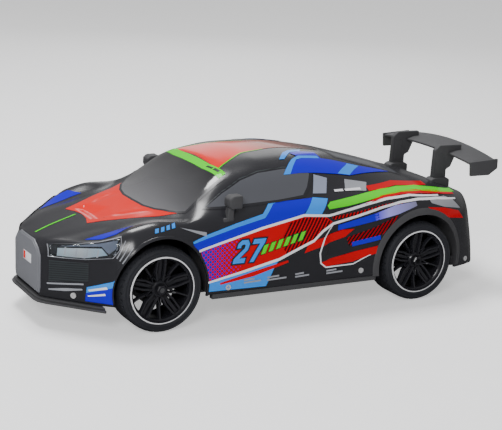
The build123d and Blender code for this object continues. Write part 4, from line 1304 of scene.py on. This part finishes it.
@dataclass
class NoseAndAero:
    """The nose plate, splitter, wing, mirrors and rear panel.

    Attributes:
        nose_x: Where the nose plate starts.
        wing_sections: (x, middle height, drop at the ends, thickness) of the wing plank.
        wing_half: Half span of the plank.
    """

    nose_x: float = 146.5
    wing_sections: tuple[tuple[float, float, float, float], ...] = (
        (-129.0, 85.6, 2.8, 1.4), (-134.0, 87.0, 3.4, 2.8), (-142.0, 87.9, 4.1, 2.4), (-149.4, 88.4, 4.8, 1.2))
    wing_half: float = 49.0

    @staticmethod
    def span(side: int, a: float, b: float) -> tuple[float, float]:
        """Two distances from the middle of the car as low and high Y on one side."""
        low, high = sorted((side * a, side * b))
        return low, high

    def plate(self) -> None:
        """The hexagonal plate in the nose with its raised centre and blank badge."""
        outer = [(-11, 48.0), (11, 48.0), (17.5, 44.6), (21.2, 40.6), (20.8, 22), (19.6, 18.4),
                 (-19.6, 18.4), (-20.8, 22), (-21.2, 40.6), (-17.5, 44.6)]
        inner = [(y * 0.93, 33.6 + (z - 33.6) * 0.94) for y, z in outer]
        badge = [(8.5, 32.8), (8.5, 38.2), (-4.5, 38.2), (-4.5, 32.8)]
        end = [(-0.8, 33.2), (-0.8, 37.8), (-4.1, 37.8), (-4.1, 33.2)]
        parts = []
        for name, outline, low, high, bevel, finish in (
                ("plate_base", outer, -0.4, 0.9, 0.4, PLATE), ("plate_raised", inner, 0.5, 1.35, 0.3, PLATE),
                ("badge", badge, 1.2, 1.45, 0.1, WHITE_PRINT_AND_HIGHLIGHT), ("badge_end", end, 1.3, 1.5, 0.05, CORAL)):
            layer = Bench.prism(name, outline, "YZ", self.nose_x + low, self.nose_x + high, bevel)
            parts.append(Bench.dress(layer, finish))
        Bench.mount(Bench.join("nose_plate_detailed", parts), "chassis", "grey_plate", ["nose_plate"])

    def splitter(self) -> None:
        """The two-step splitter under the nose."""
        low = [(149.8, 17), (149.0, 22), (146, 27), (136, 38), (126, 49.6), (120.4, 55.6), (119.6, 54.4)]
        high = [(148.6, 17), (147.8, 21.2), (144.6, 26), (134.6, 37), (124.6, 48.6), (119.9, 53.6)]
        parts = []
        for name, half, z0, z1 in (("lip", low, 13.7, 15.15), ("step", high, 15.0, 16.5)):
            outline = half + [(x, -y) for x, y in reversed(half)]
            parts.append(Bench.dress(Bench.prism(name, outline, "XY", z0, z1, 0.45), MATTE))
        Bench.mount(Bench.join("splitter_stepped", parts), "chassis", "matte_black", ["front_splitter"])

    def plank(self) -> bpy.types.Object:
        """The arched wing plank as a closed aerofoil."""
        xs = np.array([s[0] for s in self.wing_sections])[::-1]
        columns = [np.array([s[k] for s in self.wing_sections])[::-1] for k in (1, 2, 3)]
        across = np.linspace(-self.wing_half, self.wing_half, 41)
        cut = np.linspace(-129.0, -149.4, 15)
        points = []
        for y in across:
            share = (y / self.wing_half) ** 2
            top, low = [], []
            for x in cut:
                middle, drop, thick = (float(np.interp(x, xs, c)) for c in columns)
                z = middle - drop * share
                top.append((x, y, z))
                low.append((x, y, z - thick))
            points += top + low[::-1]
        n = 2 * len(cut)
        faces = [(k * n + j, k * n + (j + 1) % n, (k + 1) * n + (j + 1) % n, (k + 1) * n + j)
                 for k in range(len(across) - 1) for j in range(n)]
        faces += [tuple(range(n)), tuple((len(across) - 1) * n + j for j in range(n))[::-1]]
        piece = Bench.mesh("plank", points, faces)
        Bench.outwards(piece)
        Bench.bevel(piece, 0.35, 2, 40)
        return Bench.dress(piece, MATTE)

    def wing(self) -> None:
        """Plank, end plates and uprights."""
        Bench.mount(self.plank(), "chassis", "matte_black", ["wing_plank"])
        plate = [(-128.2, 83.6), (-150.0, 84.6), (-150.0, 78.4), (-143.5, 74.3), (-129.0, 74.4)]
        blade = [(-117.4, 61.0), (-118.5, 86.9), (-122.2, 89.9), (-139.3, 89.6), (-138.8, 84.6),
                 (-134.7, 82.6), (-131.5, 75.5), (-128.2, 73.7), (-128.2, 61.0)]
        for word, side in SIDES:
            end = Bench.prism(f"end_plate_{word}", plate, "XZ", *self.span(side, 48.9, 50.8), 0.5)
            Bench.mount(Bench.dress(end, MATTE), "chassis", "matte_black", [f"wing_end_plate_{word}"])
            low, high = side * 24.0 - 1.7, side * 24.0 + 1.7
            parts = [Bench.prism("blade", blade, "XZ", low, high, 0.6)]
            foot = [(-130.0, 61.0), (-130.0, 67.6), (-127.6, 69.0), (-117.8, 69.0), (-115.5, 67.8),
                    (-115.5, 61.0)]
            parts.append(Bench.prism("foot", foot, "XZ", side * 24.0 - 3.8, side * 24.0 + 3.8, 0.7))
            brace = [(-119.4, 70.5), (-119.9, 84.0), (-124.6, 84.8), (-126.6, 76.6), (-126.6, 70.5)]
            parts.append(Bench.prism("rib", brace, "XZ", low - 0.4, high + 0.4, 0.35))
            piece = Bench.join(f"upright_{word}", [Bench.dress(p, MATTE) for p in parts])
            Bench.mount(piece, "chassis", "matte_black", [f"wing_upright_{word}"])

    def mirrors(self) -> None:
        """Door mirrors: a boxy housing with its glass, on a stem and a foot."""
        for word, side in SIDES:
            head = [(39.8, 69.4), (39.8, 77.0), (45.8, 77.0), (48.3, 75.2), (48.3, 70.8), (46.6, 69.4)]
            parts = [Bench.dress(Bench.prism("housing", head, "XZ", *self.span(side, 54.0, 61.8), 0.9), MATTE)]
            glass = [(side * 54.9, 70.4), (side * 60.9, 70.4), (side * 60.9, 76.0), (side * 54.9, 76.0)]
            parts.append(Bench.dress(Bench.prism("glass", glass, "YZ", 39.75, 40.2, 0.15), SILVER))
            stem = [(44.0, 62.0), (43.6, 69.8), (47.4, 69.8), (48.6, 62.0)]
            parts.append(Bench.dress(Bench.prism("stem", stem, "XZ", *self.span(side, 54.8, 59.2), 0.7), MATTE))
            foot = [(43.4, 60.0), (43.4, 64.0), (50.4, 63.6), (50.4, 60.0)]
            parts.append(Bench.dress(Bench.prism("foot", foot, "XZ", *self.span(side, 53.6, 58.6), 0.7), MATTE))
            Bench.mount(Bench.join(f"door_mirror_{word}", parts), "chassis", "matte_black", [f"mirror_{word}"])

    def tail(self) -> None:
        """The rear panel: a hatched strip behind the lamps, a lower grille and the two red tail lamps."""
        strip = [(-34.6, 41.2), (34.6, 41.2), (34.6, 50.8), (-34.6, 50.8)]
        panel = Bench.dress(Bench.prism("lamp_panel", strip, "YZ", -138.3, -137.6, 0.2), SLATE)
        lower = [(-40, 22), (40, 22), (36, 33), (-36, 33)]
        grille = Bench.dress(Bench.prism("lower_grille", lower, "YZ", -138.4, -137.6, 0.2), SLATE)
        Bench.mount(Bench.join("tail_panel", [panel, grille]), "chassis", "matte_black")
        for word, side in SIDES:
            low, high = self.span(side, 20.2, 33.8)
            lamp = [(low, 42.2), (high, 42.2), (high, 49.8), (low, 49.8)]
            piece = Bench.prism(f"tail_lamp_{word}", lamp, "YZ", -139.2, -137.9, 0.5)
            Bench.mount(Bench.dress(piece, TAIL_RED), "chassis", "lens_red", [f"tail_lens_{word}"])

    def build(self) -> None:
        """Make all of them."""
        self.plate()
        self.splitter()
        self.wing()
        self.mirrors()
        self.tail()


@dataclass
class Wheel:
    """One wheel: notched tyre, spoked rim with a painted ring.

    Attributes:
        place: "front" or "rear".
        word: "left" or "right".
        body: CAD body it turns with.
        spokes: Number of double spokes.
    """

    place: str
    word: str
    body: str
    spokes: int = 5

    def centre(self) -> Point3:
        """Middle of the wheel in millimetres, from the tyre's box."""
        low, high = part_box(f"tyre_{self.place}_{self.word}")
        return tuple((a + b) / 2 / MM for a, b in zip(low, high))

    @property
    def side(self) -> int:
        """1 on the left, -1 on the right."""
        return 1 if self.word == "left" else -1

    def tyre(self) -> bpy.types.Object:
        """The tyre with cut shoulder notches and sidewall ribs."""
        profile = [(19.7, -10.2), (20.4, -10.9), (22.8, -10.95), (23.6, -10.7), (24.3, -10.1), (24.8, -9.0),
                   (24.97, -7.2), (25.0, -3.0), (25.0, 3.0), (24.97, 7.2), (24.8, 9.0), (24.3, 10.1),
                   (23.6, 10.75), (23.2, 10.95), (22.9, 10.75), (21.9, 10.75), (21.6, 10.95), (20.9, 10.95),
                   (20.3, 10.6), (19.7, 10.2)]
        piece = Bench.spin(f"tyre_{self.place}_{self.word}_notched", profile, self.centre(), self.side, 120)
        cx, cy, cz = self.centre()
        Bench.only(piece)
        bpy.ops.object.mode_set(mode="EDIT")
        bpy.ops.mesh.select_all(action="DESELECT")
        bpy.ops.object.mode_set(mode="OBJECT")
        for face in piece.data.polygons:
            x, y, z = (c / MM for c in face.center)
            out, size = self.side * (y - cy), math.hypot(x - cx, z - cz)
            turn = int((math.degrees(math.atan2(z - cz, x - cx)) % 360) / 3.0)
            face.select = size > 24.2 and 7.2 < abs(out) < 10.0 and turn % 3 == 0
        bpy.ops.object.mode_set(mode="EDIT")
        bpy.ops.mesh.select_mode(type="FACE")
        bpy.ops.mesh.extrude_region_shrink_fatten(TRANSFORM_OT_shrink_fatten={"value": -0.0006})
        bpy.ops.object.mode_set(mode="OBJECT")
        bpy.ops.object.shade_smooth_by_angle(angle=math.radians(28))
        return Bench.dress(piece, RUBBER)

    def spoke(self, angle: float, hub: float, reach: float, skew: float, wide: float,
              step: float) -> bpy.types.Object:
        """One arm of a double spoke, thicker at the hub, from hub to the rim.

        Args:
            angle: Direction from the hub in degrees.
            hub: Radius where it starts.
            reach: Radius where it ends.
            skew: Degrees that its outer end leans sideways.
            wide: Half its width.
            step: How far its face lies outside the others.

        Returns:
            The arm.
        """
        cx, cy, cz = self.centre()
        a, b = math.radians(angle), math.radians(angle + skew)
        rows = []
        for share, swell, low, top in ((0.0, 1.1, 2.4, 7.0), (0.45, 0.95, 3.6, 7.2), (0.85, 0.95, 5.4, 8.4),
                                       (1.0, 1.25, 5.0, 9.0)):
            half, high = wide * swell, top + step
            r = hub + (reach - hub) * share
            turn = a + (b - a) * share
            ux, uz = math.cos(turn), math.sin(turn)
            mx, mz = cx + r * ux, cz + r * uz
            rows.append([(mx - uz * half, cy + self.side * low, mz + ux * half),
                         (mx + uz * half, cy + self.side * low, mz - ux * half),
                         (mx + uz * half * 0.7, cy + self.side * high, mz - ux * half * 0.7),
                         (mx - uz * half * 0.7, cy + self.side * high, mz + ux * half * 0.7)])
        points = [p for row in rows for p in row]
        faces = [(4 * k + j, 4 * k + (j + 1) % 4, 4 * k + 4 + (j + 1) % 4, 4 * k + 4 + j)
                 for k in range(3) for j in range(4)] + [(3, 2, 1, 0), (12, 13, 14, 15)]
        arm = Bench.mesh("arm", points, faces)
        Bench.outwards(arm)
        Bench.bevel(arm, 0.22, 2)
        return arm

    def rim(self) -> bpy.types.Object:
        """Barrel, hub and spokes, with the painted ring on the lip."""
        barrel = [(18.1, -10.0), (19.65, -10.0), (19.65, 9.9), (19.9, 10.3), (19.75, 10.62), (19.1, 10.7),
                  (18.75, 10.5), (18.5, 9.6), (17.6, 8.6), (17.2, 6.6), (17.6, 4.8), (18.1, 3.0)]
        hub = [(1.7, -1.4), (5.0, -1.4), (5.2, 2.0), (5.0, 6.4), (4.3, 7.2), (3.6, 7.3), (3.5, 6.6),
               (1.7, 6.6)]
        centre = self.centre()
        ring = Bench.spin("barrel", barrel, centre, self.side, 120)
        parts = [ring, Bench.spin("hub", hub, centre, self.side, 48)]
        step = 360 / self.spokes
        for k in range(self.spokes):
            base = 90 + step * k
            parts.append(self.spoke(base, 4.2, 18.0, 0.0, 1.5, -1.4))
            parts.append(self.spoke(base + step / 2, 8.6, 17.9, 0.0, 0.75, -0.4))
            for lean in (-1, 1):
                parts.append(self.spoke(base + lean * 21, 4.6, 18.0, -lean * 14.5, 0.9, 0.0))
                parts.append(self.spoke(base + lean * 24, 5.0, 9.4, lean * 12.0, 0.6, -0.4))
        piece = Bench.join(f"rim_{self.place}_{self.word}_spoked", [Bench.dress(p, RIM) for p in parts])
        piece.data.materials.append(PAINT.build())
        index = len(piece.data.materials) - 1
        cx, cy, cz = centre
        for face in piece.data.polygons:
            x, y, z = (c / MM for c in face.center)
            size, out = math.hypot(x - cx, z - cz), self.side * (y - cy)
            if size > 19.0 and out > 9.9:
                face.material_index = index
        return piece

    def build(self) -> None:
        """Make the wheel's pieces."""
        Bench.mount(self.tyre(), self.body, "tyre", [f"tyre_{self.place}_{self.word}"])
        Bench.mount(self.rim(), self.body, "rim_black", [f"rim_{self.place}_{self.word}"])


class CarriedNodes:
    """CAD nodes whose shape stays: each gets the finish of its material slot."""

    def build(self) -> None:
        """Assign a finish to every node's slots."""
        slots = {part["node"]: part["material_slot"] for part in frame["record"]["subparts"]}
        for name, node in frame["nodes"].items():
            finish = NODE_FINISH.get(name, SLOT_FINISH[slots[name]]).build()
            for slot in node.material_slots:
                slot.material = finish
            LOG.info("%s: %s", name, finish.name)


@dataclass
class Studio:
    """Pale floor, soft lights and the camera.

    Attributes:
        azimuth: Direction the camera looks from, in degrees.
        elevation: Its height angle in degrees.
        roll: Its tilt about its own axis in degrees.
        distance: From the target, in metres.
        target: What it looks at, in metres.
        lens: Focal length in millimetres.
        paper: Colour of the floor.
        card: Colour of the floor in reflections.
        glow: How much the floor shines of itself.
        sky: Strength of the light from all around.
        backdrop: Brightness behind the floor's far edge.
    """

    azimuth: float = 151.28
    elevation: float = 14.25
    roll: float = 2.55
    distance: float = 0.8655
    target: Point3 = (0.00065, 0.0, 0.04743)
    lens: float = 99.05
    paper: Colour = (0.86, 0.86, 0.87)
    card: Colour = (0.10, 0.10, 0.10)
    glow: float = 0.55
    sky: float = 0.32
    backdrop: float = 0.95

    def camera(self) -> None:
        """Place the camera."""
        a, e, r = (math.radians(v) for v in (self.azimuth, self.elevation, self.roll))
        back = Vector((math.sin(a) * math.cos(e), -math.cos(a) * math.cos(e), math.sin(e)))
        right = Vector((0, 0, 1)).cross(back).normalized()
        up = back.cross(right)
        right, up = right * math.cos(r) + up * math.sin(r), up * math.cos(r) - right * math.sin(r)
        data = bpy.data.cameras.new("studio_camera")
        data.lens = self.lens
        data.sensor_width = 36.0
        data.clip_start = 0.01
        camera = bpy.data.objects.new("studio_camera", data)
        bpy.context.scene.collection.objects.link(camera)
        place = Matrix((right, up, back)).transposed().to_4x4()
        place.translation = Vector(self.target) + back * self.distance
        camera.matrix_world = place
        bpy.context.scene.camera = camera

    def lamp(self, name: str, place: Point3, size: float, power: float, tone: Colour = (1, 1, 1)) -> None:
        """A soft square light aimed at the car.

        Args:
            name: Light name.
            place: Its position in metres.
            size: Its edge in metres.
            power: Its power in watts.
            tone: Its colour.
        """
        data = bpy.data.lights.new(name, "AREA")
        data.size = size
        data.energy = power
        data.color = tone
        light = bpy.data.objects.new(name, data)
        light.location = place
        light.rotation_euler = (Vector((0, 0, 0.03)) - Vector(place)).to_track_quat("-Z", "Y").to_euler()
        bpy.context.scene.collection.objects.link(light)

    def floor(self) -> None:
        """A pale floor that glows a little and throws little light into glossy paint."""
        Bench.clear()
        bpy.ops.mesh.primitive_plane_add(size=16.0, location=(0, 0, 0))
        floor = bpy.context.active_object
        floor.name = "studio_floor"
        pale = Finish("studio_floor", self.paper, low=0.5, high=0.62, grain=0.05, fine=300.0)
        tree = Bench.dress(floor, pale).data.materials[0].node_tree
        sheet, shader = NodeSheet(tree), tree.nodes["Principled BSDF"]
        ray = sheet.add("ShaderNodeLightPath").outputs
        tree.links.new(sheet.mix(ray["Is Glossy Ray"], self.paper, self.card), shader.inputs["Base Color"])
        glow = sheet.math("MULTIPLY", ray["Is Camera Ray"], self.glow)
        tree.links.new(glow, shader.inputs["Emission Strength"])
        shader.inputs["Emission Color"].default_value = (1.0, 1.0, 1.0, 1.0)

    def build(self) -> None:
        """Set up the whole studio."""
        self.floor()
        self.camera()
        world = bpy.data.worlds.new("studio_world")
        bpy.context.scene.world = world
        world.use_nodes = True
        world.node_tree.nodes["Background"].inputs[0].default_value = (1.0, 1.0, 1.0, 1.0)
        sheet = NodeSheet(world.node_tree)
        seen = sheet.add("ShaderNodeLightPath").outputs["Is Camera Ray"]
        extra = sheet.math("MULTIPLY", seen, self.backdrop - self.sky)
        strength = world.node_tree.nodes["Background"].inputs[1]
        world.node_tree.links.new(sheet.math("ADD", extra, self.sky), strength)
        self.lamp("overhead", (0.10, -0.35, 1.1), 0.45, 14.0)
        self.lamp("front_left", (0.85, 0.95, 0.75), 0.4, 11.0)
        self.lamp("far_side", (-0.5, -1.0, 0.5), 0.5, 1.2)


def main() -> None:
    """Build the car, dress it and set up the studio."""
    logging.basicConfig(level=logging.INFO, format="%(name)s %(message)s")
    surface = BodySurface(BODY_LINES)
    film = Film(surface)
    CarriedNodes().build()
    CarShell(surface).build()
    Livery(film).build()
    Headlights(film).build()
    NoseAndAero().build()
    for place, word, body in (("front", "left", "wheel_front_left"), ("front", "right", "wheel_front_right"),
                              ("rear", "left", "rear_axle"), ("rear", "right", "rear_axle")):
        Wheel(place, word, body).build()
    Studio().build()


if __name__ == "__main__":
    main()
